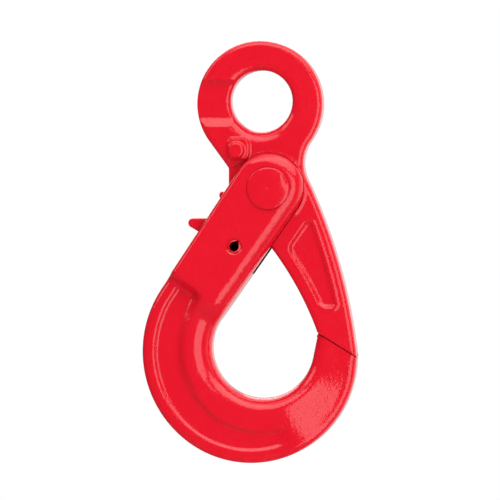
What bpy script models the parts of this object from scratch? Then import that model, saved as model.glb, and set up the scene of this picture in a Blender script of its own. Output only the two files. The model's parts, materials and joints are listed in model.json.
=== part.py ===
"""Self-locking eye hook: a forged eye with its latch arm, a forged hook with a forked shank, and a sprung trigger.

Metres. The front view looks along +Y, with X to the right and Z up. The origin is the centre of the eye's hole,
and the object is symmetric about the plane Y = 0.
"""

import math

import bmesh
import bpy
from mathutils import Matrix, Vector

# Eye and neck
EYE_BORE_RADIUS = 0.0160
EYE_OUTER_RADIUS = 0.0327
EYE_SHIFT_X = -0.0009
EYE_SHIFT_Z = -0.0014
EYE_BORE_ROUND = 0.0044
LATCH_THICKNESS = 0.0160
LATCH_ROUND = 0.0030
NECK_FLANK_ANGLE = 36.0
NECK_LEFT_X = -0.0170
NECK_RIGHT_X = 0.0219
NECK_LEFT_FILLET = 0.0120
NECK_RIGHT_FILLET = 0.0200

# Load pin and hub
PIN_X = 0.0040
PIN_Z = -0.0453
PIN_SHANK_RADIUS = 0.0090
PIN_HEAD_RADIUS = 0.0108
PIN_HEAD_SEAT = 0.0025
PIN_HEAD_PROUD = 0.0014
PIN_HEAD_ROUND = 0.0009
HUB_RADIUS = 0.0194
LUG_ROOT_RADIUS = 0.0136
TONGUE_GAP = 0.0003
CLEARANCE = 0.0003

# Hook: the bowl's circles, its section and the fork
BOWL_X = 0.0007
BOWL_Z = -0.1278
BOWL_RADIUS = 0.0264
BACK_X = -0.0037
BACK_Z = -0.1299
BACK_RADIUS = 0.0584
BELLY_RADIUS = 0.0550
BELLY_ANGLE = 237.7
TIP_FLARE = 0.0017
TIP_RISE = 0.0078
SEAM_GAP = 0.0008
BULB_HALF = 0.0110
BULB_ROUND = 0.0090
TIP_HALF = 0.0080
BULB_WALL = 0.0022
BULB_LEDGE_SHARE = 0.44
LIP_SHARE = 0.25
CHANNEL_WALL = 0.0012
CHANNEL_DEPTH = 0.0014
RIM_DROP = 0.0004
RIM_WIDTH = 0.0066
RIM_ROUND = 0.0030
FORK_WIDTH = 0.0290
FORK_RADIUS = 0.0182
FORK_INNER_ROUND = 0.0066
FORK_END_ROUND = 0.0048
FORK_BACK_ROUND = 0.0014
FORK_FRONT_SHARE = 0.25
FORK_BACK_SHARE = 0.60
SLOT_WIDTH = 0.0140
SLOT_FLOOR_DROP = 0.0455
SLOT_FLOOR_TILT = 8.0
SWING_GAP = 0.0008
SWELL_TURN = 20.0
CHANNEL_START_TURN = 4.0
CHANNEL_RAMP_TURN = 8.0
CHANNEL_END_ANGLE = 282.0
TAPER_START_ANGLE = 270.0
TAPER_END_ANGLE = 350.0
LAST_RAY_ANGLE = 352.0

# Latch arm
ARM_BACK_RADIUS = 0.2900
ARM_FRONT_RADIUS = 0.1700
POCKET_MARGIN = 0.0057
POCKET_END_RISE = 0.0120
POCKET_DEPTH = 0.0012
POCKET_CORNER = 0.0015

# Stop bosses and the flat on the eye
BOSS_X = -0.0127
BOSS_Z = -0.0251
BOSS_SIDE = 0.0070
BOSS_CORNER = 0.0014
BOSS_HEIGHT = 0.0034
BOSS_FOOT_SIDE = 0.0116
BOSS_FOOT_CORNER = 0.0014
BOSS_FOOT_HEIGHT = 0.0012
EYE_FLAT_TOP = 0.0080
EYE_FLAT_BOTTOM = -0.0120
EYE_FLAT_DEPTH = 0.0019
EYE_FLAT_RAMP = 0.0040

# Trigger, its slotted pin and its spring
HOOK_SWING = 30.0
TRIGGER_TRAVEL = 18.0
TRIGGER_REACH = 0.0348
TRIGGER_OFFSET = -0.0019
TRIGGER_WIDTH = 0.0124
TRIGGER_WEB = 0.0046
TRIGGER_HUB_RADIUS = 0.0062
TRIGGER_HUB_END_ANGLE = 365.0
TRIGGER_RELIEF = 0.0130
TRIGGER_WAIST = 0.0060
NOSE_ANGLE = 187.0
NOSE_OUTER_RADIUS = 0.0264
NOSE_GAP = 0.0004
TAB_TOP = 0.0140
TAB_REACH = 0.0247
TAB_TIP_RADIUS = 0.0020
TAB_TIP_START_ANGLE = 90.0
TAB_TIP_END_ANGLE = 240.0
TAB_HEEL_X = 0.0190
TAB_HEEL_Z = 0.0075
SPRING_PIN_RADIUS = 0.0035
SPRING_PIN_BORE = 0.0021
SPRING_PIN_SLIT = 0.0012
SPRING_PIN_SLIT_ANGLE = 55.0
SPRING_PIN_SINK = 0.0004
WIRE_RADIUS = 0.0005
COIL_RADIUS = 0.0048
COIL_INNER_Y = 0.0031
COIL_OUTER_Y = 0.0060
COIL_TURNS = 1.75
BRIDGE_REACH = 0.0110

BOWL_STEPS = 36
FORK_END_STEPS = 16
EYE_STEPS = 36
SWEEP_STEPS = 24
ARM_STEPS = 7
PANEL_STEPS = 5
FILLET_STEPS = 4
TIP_STEPS = 6
TRIGGER_HUB_STEPS = 12
ROLL_STEPS = 22
COIL_STEPS = 10
GAP_STEPS = 6
BEVEL_SEGMENTS = 3
ROUND_STEPS = 5
RING_SIDES = 48
SMALL_RING_SIDES = 24
FAR = 0.0800

RED_ENAMEL = (0.76, 0.012, 0.021, 1.0)
SPRING_STEEL = (0.35, 0.35, 0.36, 1.0)
ENAMEL_ROUGHNESS = 0.25
WIRE_ROUGHNESS = 0.35
SHARP_ANGLE = 32.0
CORNER_ANGLE = 20.0
PIVOT_SIZE = 0.0100
OPEN_MARGIN = 1.0


def unit(degrees):
    return Vector((math.cos(math.radians(degrees)), math.sin(math.radians(degrees))))


def angle_of(vector):
    return math.degrees(math.atan2(vector.y, vector.x)) % 360.0


def arc(centre, radius, start, end, steps):
    """Points on a circle between two angles in degrees, both ends included."""
    return [centre + radius * unit(start + (end - start) * i / steps) for i in range(steps + 1)]


def arc_through(centre, start, end, steps):
    """Points round a centre from one point to another, the shorter way."""
    first = angle_of(start - centre)
    turn = (angle_of(end - centre) - first + 180.0) % 360.0 - 180.0
    return arc(centre, (start - centre).length, first, first + turn, steps)


def meet(centre_a, radius_a, centre_b, radius_b):
    """The point at both distances from two centres that lies to the right of the way from a to b."""
    span = centre_b - centre_a
    along = (radius_a**2 - radius_b**2 + span.length**2) / (2.0 * span.length)
    aside = math.sqrt(radius_a**2 - along**2)
    way = span.normalized()
    return centre_a + along * way + aside * Vector((way.y, -way.x))


def on_line(point, way, centre, radius, far=False):
    """Where a straight line meets a circle: the first point along it, or the second."""
    offset = point - centre
    half = offset.dot(way)
    reach = math.sqrt(half**2 - offset.length_squared + radius**2)
    return point + way * (-half + (reach if far else -reach))


def smooth_step(value, start, end):
    share = min(max((value - start) / (end - start), 0.0), 1.0)
    return share * share * (3.0 - 2.0 * share)


def place(points, y):
    return [Vector((p.x, y, p.y)) for p in points]


def new_object(name, bm):
    bmesh.ops.recalc_face_normals(bm, faces=bm.faces[:])
    mesh = bpy.data.meshes.new(name)
    bm.to_mesh(mesh)
    bm.free()
    mesh.shade_smooth()
    mesh.set_sharp_from_angle(angle=math.radians(SHARP_ANGLE))
    obj = bpy.data.objects.new(name, mesh)
    bpy.context.scene.collection.objects.link(obj)
    return obj


def prism(name, outline, y_low, y_high, rounding=0.0, skip_from=None, corner=0.0):
    """An outline extruded along Y. Its front and back edges may be rounded, but not those of one straight end."""
    bm = bmesh.new()
    low = [bm.verts.new(co) for co in place(outline, y_low)]
    high = [bm.verts.new(co) for co in place(outline, y_high)]
    bm.faces.new(low)
    bm.faces.new(high[::-1])
    count = len(outline)
    for i in range(count):
        j = (i + 1) % count
        bm.faces.new((low[i], high[i], high[j], low[j]))
    bmesh.ops.recalc_face_normals(bm, faces=bm.faces[:])
    if corner:
        uprights = [bm.edges.get((low[i], high[i])) for i in range(count)]
        sharp = [edge for edge in uprights if edge.calc_face_angle() > math.radians(CORNER_ANGLE)]
        bmesh.ops.bevel(bm, geom=sharp, offset=corner, segments=BEVEL_SEGMENTS, profile=0.5, affect="EDGES")
    if rounding:
        rims = []
        for i in range(count):
            if i == skip_from:
                continue
            j = (i + 1) % count
            rims.append(bm.edges.get((low[i], low[j])))
            rims.append(bm.edges.get((high[i], high[j])))
        bmesh.ops.bevel(bm, geom=rims, offset=rounding, segments=BEVEL_SEGMENTS, profile=0.5, affect="EDGES")
    return new_object(name, bm)


def turned(name, centre, profile, sides):
    """A solid of revolution about the Y axis through a centre, from (radius, y) pairs front to back."""
    bm = bmesh.new()
    rings = []
    for radius, y in profile:
        ring = [bm.verts.new(co) for co in place(arc(centre, radius, 0.0, 360.0, sides)[:-1], y)]
        rings.append(ring)
    bm.faces.new(rings[0])
    bm.faces.new(rings[-1][::-1])
    for first, second in zip(rings, rings[1:]):
        for i in range(sides):
            j = (i + 1) % sides
            bm.faces.new((first[i], second[i], second[j], first[j]))
    return new_object(name, bm)


def combine(target, tool, operation):
    modifier = target.modifiers.new(tool.name, "BOOLEAN")
    modifier.operation = operation
    modifier.object = tool
    modifier.solver = "EXACT"
    tool.hide_render = True
    tool.display_type = "WIRE"


def finish(obj, colour, roughness, metallic, pivot=None):
    material = bpy.data.materials.new(obj.name + "_finish")
    material.use_nodes = True
    shader = material.node_tree.nodes["Principled BSDF"]
    shader.inputs["Base Color"].default_value = colour
    shader.inputs["Roughness"].default_value = roughness
    shader.inputs["Metallic"].default_value = metallic
    obj.data.materials.append(material)
    if pivot:
        obj.data.transform(Matrix.Translation(-pivot.matrix_world.translation))
        obj.parent = pivot


def pivot_at(name, point, parent=None):
    empty = bpy.data.objects.new(name, None)
    empty.empty_display_size = PIVOT_SIZE
    empty.location = Vector((point.x, 0.0, point.y))
    if parent:
        empty.parent = parent
        empty.location -= parent.location
    bpy.context.scene.collection.objects.link(empty)
    bpy.context.view_layer.update()
    return empty


for old in list(bpy.data.objects):
    bpy.data.objects.remove(old)

# Centres and tangents that several pieces share
eye_centre = Vector((EYE_SHIFT_X, EYE_SHIFT_Z))
pin = Vector((PIN_X, PIN_Z))
bowl = Vector((BOWL_X, BOWL_Z))
back = Vector((BACK_X, BACK_Z))
belly = back + (BACK_RADIUS - BELLY_RADIUS) * unit(BELLY_ANGLE)

# The fork's outer edge is the common tangent of its round end and the bowl's back
outer_turn = math.degrees(math.acos((BACK_RADIUS - FORK_RADIUS) / (pin - back).length))
outer_normal_angle = angle_of(pin - back) + outer_turn
outer_normal = unit(outer_normal_angle)

# The fork's inner edge is the cross tangent of its round end and the bowl
inner_turn = math.degrees(math.acos((FORK_RADIUS + BOWL_RADIUS) / (bowl - pin).length))
inner_normal_angle = angle_of(bowl - pin) + inner_turn
inner_normal = unit(inner_normal_angle)
fork_way = Vector((-outer_normal.y, outer_normal.x))

seam_inner = bowl + Vector((BOWL_RADIUS + TIP_FLARE, TIP_RISE))
seam_outer = belly + BELLY_RADIUS * unit(0.0)
seam_way = (seam_outer - seam_inner).normalized()
seam_up = Vector((-seam_way.y, seam_way.x))

trigger_pin_centre = pin + TRIGGER_REACH * fork_way + TRIGGER_OFFSET * outer_normal


def slot_floor(x):
    """Height of the slot's floor, which rises towards the back of the fork."""
    return PIN_Z - SLOT_FLOOR_DROP + (PIN_X - x) * math.tan(math.radians(SLOT_FLOOR_TILT))


hook_pivot = pivot_at("hook_pivot", pin)
trigger_pivot = pivot_at("trigger_pivot", trigger_pin_centre, hook_pivot)


# Eye, neck, hub and latch arm: one forging
def latch_outline():
    """The forging's outline, anticlockwise from the neck's right side, and the index of its straight end."""
    neck_x = NECK_RIGHT_X + NECK_RIGHT_FILLET
    reach = EYE_OUTER_RADIUS + NECK_RIGHT_FILLET
    neck = Vector((neck_x, EYE_SHIFT_Z - math.sqrt(reach**2 - (neck_x - EYE_SHIFT_X) ** 2)))
    right = angle_of(neck - eye_centre) - 360.0
    left = 180.0 + NECK_FLANK_ANGLE
    eye = arc(eye_centre, EYE_OUTER_RADIUS, right, left, EYE_STEPS)

    flank_out = unit(left)
    flank_way = Vector((-flank_out.y, flank_out.x))
    fillet_line = eye[-1] + flank_out * NECK_LEFT_FILLET
    fillet = on_line(fillet_line, flank_way, pin, HUB_RADIUS + NECK_LEFT_FILLET)
    fillet_end = pin + HUB_RADIUS * (fillet - pin).normalized()
    flank = arc_through(fillet, fillet - flank_out * NECK_LEFT_FILLET, fillet_end, FILLET_STEPS)

    lift = seam_up * SEAM_GAP / 2.0
    front = meet(pin, ARM_FRONT_RADIUS + HUB_RADIUS, seam_inner + lift, ARM_FRONT_RADIUS)
    hub_end = pin + HUB_RADIUS * (front - pin).normalized()
    hub = arc_through(pin, fillet_end, hub_end, ARM_STEPS)
    arm_front = arc_through(front, hub_end, seam_inner + lift, ARM_STEPS)

    rear = meet(neck, ARM_BACK_RADIUS + NECK_RIGHT_FILLET, seam_outer + lift, ARM_BACK_RADIUS)
    neck_start = neck + NECK_RIGHT_FILLET * (rear - neck).normalized()
    arm_back = arc_through(rear, seam_outer + lift, neck_start, ARM_STEPS)
    throat = arc_through(neck, neck_start, eye[0], ARM_STEPS)
    outline = eye + flank + hub[1:] + arm_front[1:]
    straight_end = len(outline) - 1
    outline += arm_back + throat[1:-1]
    return outline, straight_end, front, rear


def tooth_outline():
    """The lug on the hub's left that the trigger's nose props, with room for the nose to leave under it."""
    nose_inner = HUB_RADIUS + NOSE_GAP
    lug_reach = PIN_X - NECK_LEFT_X
    catch = lug_reach - nose_inner + CLEARANCE
    nose_length = (pin + nose_inner * unit(NOSE_ANGLE) - trigger_pin_centre).length
    ratio = TRIGGER_TRAVEL / HOOK_SWING
    play = math.degrees(catch / (nose_length * ratio)) + math.degrees(CLEARANCE / HUB_RADIUS)
    under = NOSE_ANGLE - play
    tip = pin + (lug_reach / -unit(under).x) * unit(under)
    top = eye_centre + EYE_OUTER_RADIUS * unit(180.0 + NECK_FLANK_ANGLE)
    start = Vector((NECK_LEFT_X, (top.y + PIN_Z) / 2.0))
    return [start, tip, pin + LUG_ROOT_RADIUS * unit(under), Vector((PIN_X - LUG_ROOT_RADIUS, start.y))]


def cheek_sweep():
    """What the fork's cheeks pass over between closed and open, with their running gap."""
    radius = FORK_RADIUS + SWING_GAP
    open_angle = outer_normal_angle - HOOK_SWING - OPEN_MARGIN
    outline = arc(pin, radius, inner_normal_angle - 360.0, open_angle, SWEEP_STEPS)
    outline.append(outline[-1] + FAR * unit(open_angle + 90.0))
    outline.append(outline[0] + FAR * unit(inner_normal_angle - 90.0))
    return outline


def pocket_outline(front, rear):
    """The arm's recessed panel: set in by one margin from the fork, the two arm edges and the tip."""
    inside = ARM_FRONT_RADIUS + POCKET_MARGIN
    outside = ARM_BACK_RADIUS - POCKET_MARGIN
    line = pin + (FORK_RADIUS + SWING_GAP + POCKET_MARGIN) * inner_normal
    way = Vector((inner_normal.y, -inner_normal.x))
    top = on_line(line, -way, rear, outside, far=True)
    left = on_line(line, way, front, inside)
    level = Vector((0.0, seam_inner.y + POCKET_END_RISE))
    low_left = on_line(level, Vector((1.0, 0.0)), front, inside, far=True)
    low_right = on_line(level, Vector((1.0, 0.0)), rear, outside, far=True)
    return arc_through(front, left, low_left, PANEL_STEPS) + arc_through(rear, low_right, top, PANEL_STEPS)


def make_eye_latch():
    outline, straight_end, front, rear = latch_outline()
    half = LATCH_THICKNESS / 2.0
    latch = prism("eye_latch", outline, -half, half, LATCH_ROUND, straight_end)

    bore = [(EYE_BORE_RADIUS + EYE_BORE_ROUND, -FORK_WIDTH)]
    steps = [i / ROUND_STEPS for i in range(ROUND_STEPS + 1)]
    for share in steps:
        turn = math.radians(90.0 * share)
        bore.append(
            (
                EYE_BORE_RADIUS + EYE_BORE_ROUND * (1.0 - math.sin(turn)),
                -half + EYE_BORE_ROUND * (1.0 - math.cos(turn)),
            )
        )
    bore += [(radius, -y) for radius, y in reversed(bore)]
    combine(latch, turned("eye_bore_cut", Vector((0.0, 0.0)), bore, RING_SIDES), "DIFFERENCE")

    tongue = (SLOT_WIDTH / 2.0) - TONGUE_GAP
    for side, name in ((-1.0, "front"), (1.0, "back")):
        low, high = sorted((side * (half - CLEARANCE), side * (half + BOSS_FOOT_HEIGHT)))
        foot = prism("boss_foot_" + name, square(BOSS_FOOT_SIDE), low, high, corner=BOSS_FOOT_CORNER)
        combine(latch, foot, "UNION")
        low, high = sorted((side * (half - CLEARANCE), side * (half + BOSS_HEIGHT)))
        boss = prism("boss_" + name, square(BOSS_SIDE), low, high, corner=BOSS_CORNER)
        combine(latch, boss, "UNION")
        low, high = sorted((side * tongue, side * FORK_WIDTH))
        combine(latch, prism("cheek_room_" + name, cheek_sweep(), low, high), "DIFFERENCE")
        low, high = sorted((side * (half - POCKET_DEPTH), side * FORK_WIDTH))
        panel = prism("pocket_" + name, pocket_outline(front, rear), low, high, corner=POCKET_CORNER)
        combine(latch, panel, "DIFFERENCE")
        combine(latch, eye_flat("eye_flat_" + name, side, half), "DIFFERENCE")
    combine(latch, prism("lock_tooth", tooth_outline(), -tongue, tongue), "UNION")
    hole = [(PIN_SHANK_RADIUS + CLEARANCE, -FORK_WIDTH), (PIN_SHANK_RADIUS + CLEARANCE, FORK_WIDTH)]
    combine(latch, turned("hub_bore_cut", pin, hole, RING_SIDES), "DIFFERENCE")
    finish(latch, RED_ENAMEL, ENAMEL_ROUGHNESS, 0.0)


def square(side):
    half = side / 2.0
    middle = Vector((BOSS_X, BOSS_Z))
    return [middle + half * Vector(corner) for corner in ((-1, -1), (1, -1), (1, 1), (-1, 1))]


def eye_flat(name, side, half):
    """A wedge-ended cutter for the shallow flat across the left of the eye."""
    bm = bmesh.new()
    ends = []
    for x in (-FAR, 0.0):
        ring = []
        for depth, spread in ((-EYE_FLAT_DEPTH, 0.0), (BOSS_HEIGHT, 1.0)):
            grow = EYE_FLAT_RAMP * spread * (1.0 + BOSS_HEIGHT / EYE_FLAT_DEPTH)
            ring.append((x, side * (half + depth), EYE_FLAT_BOTTOM - grow))
            ring.append((x, side * (half + depth), EYE_FLAT_TOP + grow))
        ends.append([bm.verts.new(ring[k]) for k in (0, 1, 3, 2)])
    bm.faces.new(ends[0])
    bm.faces.new(ends[1][::-1])
    for k in range(4):
        j = (k + 1) % 4
        bm.faces.new((ends[0][k], ends[1][k], ends[1][j], ends[0][j]))
    return new_object(name, bm)


# Hook: bowl and fork swept as one skin
def half_section(edge, middle, wall, spread, half, ledge, ramp, floor):
    """Points of the front skin from the middle of an edge to the section's middle, as (place, half thickness)."""
    way = middle - edge
    points = [(edge, 0.0)]
    for i in range(ROUND_STEPS + 1):
        turn = math.radians(90.0 * i / ROUND_STEPS)
        inset = spread * (1.0 - math.cos(turn))
        points.append((edge + way.normalized() * inset, wall + (half - wall) * math.sin(turn)))
    lip = half + (floor - half) * LIP_SHARE
    points.append((edge + way.normalized() * ledge, lip))
    points.append((edge + way.normalized() * (ledge + ramp), floor))
    points.append((middle, floor))
    return points


def bowl_outer(angle):
    """Where a ray from the bowl's centre meets the hook's outer edge."""
    way = unit(angle)
    hit = on_line(bowl, way, back, BACK_RADIUS, far=True)
    turn = angle_of(hit - back)
    if turn < outer_normal_angle:
        gap = FORK_RADIUS - (bowl - pin).dot(outer_normal)
        return bowl + way * (gap / way.dot(outer_normal))
    if turn > BELLY_ANGLE:
        return on_line(bowl, way, belly, BELLY_RADIUS, far=True)
    return hit


def bowl_section(inner, outer, rise, channel, taper):
    """Section of the bowl: a full bulb inside, a shallow channel and a rim. It swells to the fork's thickness."""
    middle = (inner + outer) / 2.0
    width = (outer - inner).length
    fork_half = FORK_WIDTH / 2.0
    bulb = BULB_HALF + (fork_half - BULB_HALF) * rise + (TIP_HALF - BULB_HALF) * taper
    bulb_wall = BULB_WALL + (fork_half - FORK_INNER_ROUND - BULB_WALL) * rise
    spread = BULB_ROUND + (FORK_INNER_ROUND - BULB_ROUND) * rise
    floor = bulb - CHANNEL_DEPTH * channel
    rim = bulb - RIM_DROP * (1.0 - rise)
    rim_round = RIM_ROUND + (FORK_BACK_ROUND - RIM_ROUND) * rise
    ledge = width * BULB_LEDGE_SHARE
    inside = half_section(inner, middle, bulb_wall, spread, bulb, ledge, CHANNEL_WALL, floor)
    outside = half_section(outer, middle, rim - rim_round, rim_round, rim, RIM_WIDTH, CHANNEL_WALL, floor)
    return inside + outside[-2::-1]


def hook_sections():
    """Full sections from the hook's tip round the bowl and up the fork to the load pin."""
    drop = seam_up * SEAM_GAP / 2.0
    start = inner_normal_angle - 180.0
    sections = [bowl_section(seam_inner - drop, seam_outer - drop, 0.0, 0.0, 1.0)]
    channel_start = start + CHANNEL_START_TURN
    for i in range(BOWL_STEPS + 1):
        angle = LAST_RAY_ANGLE + (start - LAST_RAY_ANGLE) * i / BOWL_STEPS
        rise = 1.0 - smooth_step(angle, start, start + SWELL_TURN)
        channel = smooth_step(angle, channel_start, channel_start + CHANNEL_RAMP_TURN)
        channel *= 1.0 - smooth_step(angle, CHANNEL_END_ANGLE, CHANNEL_END_ANGLE + CHANNEL_RAMP_TURN)
        taper = smooth_step(angle, TAPER_START_ANGLE, TAPER_END_ANGLE)
        inner = bowl + BOWL_RADIUS * unit(angle)
        sections.append(bowl_section(inner, bowl_outer(angle), rise, channel, taper))
    return sections


def fork_half_section(angle):
    """Half a section of the fork at the load pin, from the edge at an angle to the pin's axis."""
    turn = (angle - (inner_normal_angle - 360.0)) / (outer_normal_angle - inner_normal_angle + 360.0)
    half = FORK_WIDTH / 2.0
    early = smooth_step(turn, 0.0, FORK_FRONT_SHARE)
    late = smooth_step(turn, FORK_BACK_SHARE, 1.0)
    spread = FORK_INNER_ROUND + (FORK_END_ROUND - FORK_INNER_ROUND) * early
    spread += (FORK_BACK_ROUND - FORK_END_ROUND) * late
    edge = pin + FORK_RADIUS * unit(angle)
    ledge = (FORK_RADIUS + FORK_INNER_ROUND) / 2.0
    return half_section(edge, pin, half - spread, spread, half, ledge, CHANNEL_WALL, half)


def make_hook_body():
    first = inner_normal_angle - 360.0
    fan = [first + (outer_normal_angle - first) * i / FORK_END_STEPS for i in range(FORK_END_STEPS + 1)]
    sections = hook_sections()
    sections.append(fork_half_section(fan[0]) + fork_half_section(fan[-1])[-2::-1])
    count = len(sections[0])
    middle = count // 2
    bm = bmesh.new()

    def ring(section):
        front = [bm.verts.new((p.x, -h, p.y)) for p, h in section]
        rear = [bm.verts.new((p.x, h, p.y)) for p, h in section[1:-1]]
        return front, [front[0]] + rear + [front[-1]]

    rings = [ring(section) for section in sections]
    for (front_a, rear_a), (front_b, rear_b) in zip(rings, rings[1:]):
        for i in range(count - 1):
            bm.faces.new((front_a[i], front_a[i + 1], front_b[i + 1], front_b[i]))
            bm.faces.new((rear_a[i + 1], rear_a[i], rear_b[i], rear_b[i + 1]))
    tip_front, tip_rear = rings[0]
    bm.faces.new(tip_front[::-1] + tip_rear[1:-1])

    top_front, top_rear = rings[-1]
    spokes = [(top_front[: middle + 1], top_rear[: middle + 1])]
    for angle in fan[1:-1]:
        half = fork_half_section(angle)
        front = [bm.verts.new((p.x, -h, p.y)) for p, h in half[:-1]] + [top_front[middle]]
        rear = [bm.verts.new((p.x, h, p.y)) for p, h in half[1:-1]] + [top_rear[middle]]
        spokes.append((front, [front[0]] + rear))
    spokes.append((top_front[: middle - 1 : -1], top_rear[: middle - 1 : -1]))
    for (front_a, rear_a), (front_b, rear_b) in zip(spokes, spokes[1:]):
        for i in range(middle):
            corners = [front_a[i], front_a[i + 1], front_b[i + 1], front_b[i]]
            bm.faces.new(list(dict.fromkeys(corners)))
            corners = [rear_a[i + 1], rear_a[i], rear_b[i], rear_b[i + 1]]
            bm.faces.new(list(dict.fromkeys(corners)))
    hook = new_object("hook_body", bm)

    left = Vector((PIN_X - FAR, slot_floor(PIN_X - FAR)))
    right = Vector((PIN_X + FAR, slot_floor(PIN_X + FAR)))
    slot = [left, right, Vector((right.x, PIN_Z + FAR)), Vector((left.x, PIN_Z + FAR))]
    combine(hook, prism("slot_cut", slot, -SLOT_WIDTH / 2.0, SLOT_WIDTH / 2.0), "DIFFERENCE")
    seat = FORK_WIDTH / 2.0 - PIN_HEAD_SEAT
    wide = PIN_HEAD_RADIUS + CLEARANCE
    narrow = PIN_SHANK_RADIUS + CLEARANCE
    bore = [(wide, -FORK_WIDTH), (wide, -seat), (narrow, -seat), (narrow, seat), (wide, seat), (wide, FORK_WIDTH)]
    combine(hook, turned("load_pin_cut", pin, bore, RING_SIDES), "DIFFERENCE")
    hole = [(SPRING_PIN_RADIUS + CLEARANCE, -FORK_WIDTH), (SPRING_PIN_RADIUS + CLEARANCE, FORK_WIDTH)]
    combine(hook, turned("trigger_pin_cut", trigger_pin_centre, hole, SMALL_RING_SIDES), "DIFFERENCE")
    finish(hook, RED_ENAMEL, ENAMEL_ROUGHNESS, 0.0, hook_pivot)


# Load pin, its two ends upset into the cheeks
def make_load_pin():
    end = FORK_WIDTH / 2.0 + PIN_HEAD_PROUD
    under = FORK_WIDTH / 2.0 - PIN_HEAD_SEAT + CLEARANCE
    front = [
        (PIN_HEAD_RADIUS - PIN_HEAD_ROUND, -end),
        (PIN_HEAD_RADIUS, -end + PIN_HEAD_ROUND),
        (PIN_HEAD_RADIUS, -under),
        (PIN_SHANK_RADIUS, -under),
    ]
    profile = front + [(radius, -y) for radius, y in reversed(front)]
    finish(turned("load_pin", pin, profile, RING_SIDES), RED_ENAMEL, ENAMEL_ROUGHNESS, 0.0, hook_pivot)


# Slotted spring pin, rolled from strip
def make_trigger_pin():
    outer_half = math.degrees(math.asin(SPRING_PIN_SLIT / 2.0 / SPRING_PIN_RADIUS))
    inner_half = math.degrees(math.asin(SPRING_PIN_SLIT / 2.0 / SPRING_PIN_BORE))
    start = SPRING_PIN_SLIT_ANGLE
    outer = arc(trigger_pin_centre, SPRING_PIN_RADIUS, start + outer_half, start + 360.0 - outer_half, ROLL_STEPS)
    inner = arc(trigger_pin_centre, SPRING_PIN_BORE, start + 360.0 - inner_half, start + inner_half, ROLL_STEPS)
    end = FORK_WIDTH / 2.0 - SPRING_PIN_SINK
    finish(prism("trigger_pin", outer + inner, -end, end), RED_ENAMEL, ENAMEL_ROUGHNESS, 0.0, hook_pivot)


# Trigger: nose against the hub, thin web on the pin, thumb tab behind the fork
def tab_heel():
    return trigger_pin_centre + Vector((-TAB_HEEL_X, TAB_HEEL_Z))


def hub_tangent():
    """Where the tab's underside runs onto the trigger's hub."""
    away = tab_heel() - trigger_pin_centre
    turn = math.degrees(math.acos(TRIGGER_HUB_RADIUS / away.length))
    return trigger_pin_centre + TRIGGER_HUB_RADIUS * unit(angle_of(away) + turn)


def trigger_outline():
    nose_in = pin + (HUB_RADIUS + NOSE_GAP) * unit(NOSE_ANGLE)
    nose_out = pin + NOSE_OUTER_RADIUS * unit(NOSE_ANGLE)
    lever = (nose_in + nose_out) / 2.0 - trigger_pin_centre
    aside = Vector((lever.y, -lever.x)).normalized() * TRIGGER_WAIST / 2.0
    waist = trigger_pin_centre + lever * 0.5
    top = trigger_pin_centre.y + TAB_TOP
    tip = Vector((trigger_pin_centre.x - TAB_REACH + TAB_TIP_RADIUS, top - TAB_TIP_RADIUS))
    root = Vector((waist.x - aside.x, top))
    tangent = hub_tangent()
    hub_start = angle_of(tangent - trigger_pin_centre)
    hub = arc(trigger_pin_centre, TRIGGER_HUB_RADIUS, hub_start, TRIGGER_HUB_END_ANGLE, TRIGGER_HUB_STEPS)
    tab = arc(tip, TAB_TIP_RADIUS, TAB_TIP_START_ANGLE, TAB_TIP_END_ANGLE, TIP_STEPS)
    return [nose_in, nose_out, root] + tab + [tab_heel()] + hub + [waist + aside]


def make_trigger():
    half = TRIGGER_WIDTH / 2.0
    trigger = prism("trigger", trigger_outline(), -half, half)
    for side, name in ((-1.0, "front"), (1.0, "back")):
        low, high = sorted((side * TRIGGER_WEB / 2.0, side * FORK_WIDTH))
        around = [(TRIGGER_RELIEF, low), (TRIGGER_RELIEF, high)]
        relief = turned("trigger_relief_" + name, trigger_pin_centre, around, RING_SIDES)
        combine(trigger, relief, "DIFFERENCE")
    hole = [(SPRING_PIN_RADIUS + CLEARANCE, -FORK_WIDTH), (SPRING_PIN_RADIUS + CLEARANCE, FORK_WIDTH)]
    bore = turned("trigger_bore_cut", trigger_pin_centre, hole, SMALL_RING_SIDES)
    combine(trigger, bore, "DIFFERENCE")
    finish(trigger, RED_ENAMEL, ENAMEL_ROUGHNESS, 0.0, trigger_pivot)


# Double torsion spring: two coils on the pin, a bridge under the tab, two legs on the slot's floor
def spring_half():
    """Wire points of the front half, from the bridge's middle to the leg's end."""
    tangent = hub_tangent()
    up = (tab_heel() - tangent).normalized()
    out = (tangent - trigger_pin_centre).normalized()
    reach = math.sqrt(BRIDGE_REACH**2 - TRIGGER_HUB_RADIUS**2)
    bridge = tangent + up * reach + out * (CLEARANCE + WIRE_RADIUS)
    away = bridge - trigger_pin_centre
    start = angle_of(away) + math.degrees(math.acos(COIL_RADIUS / away.length))
    steps = round(COIL_STEPS * COIL_TURNS)
    points = [Vector((bridge.x, 0.0, bridge.y)), Vector((bridge.x, -COIL_INNER_Y, bridge.y))]
    for i in range(steps + 1):
        share = i / steps
        place_on_coil = trigger_pin_centre + COIL_RADIUS * unit(start + 360.0 * COIL_TURNS * share)
        y = -COIL_INNER_Y - (COIL_OUTER_Y - COIL_INNER_Y) * share
        points.append(Vector((place_on_coil.x, y, place_on_coil.y)))
    leave = unit(start + 360.0 * COIL_TURNS + 90.0)
    tilt = math.tan(math.radians(SLOT_FLOOR_TILT))
    stand = (WIRE_RADIUS + CLEARANCE) / math.cos(math.radians(SLOT_FLOOR_TILT))
    height = points[-1].z - stand - slot_floor(points[-1].x)
    run = height / -(leave.y + leave.x * tilt)
    points.append(points[-1] + run * Vector((leave.x, 0.0, leave.y)))
    return points


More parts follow.
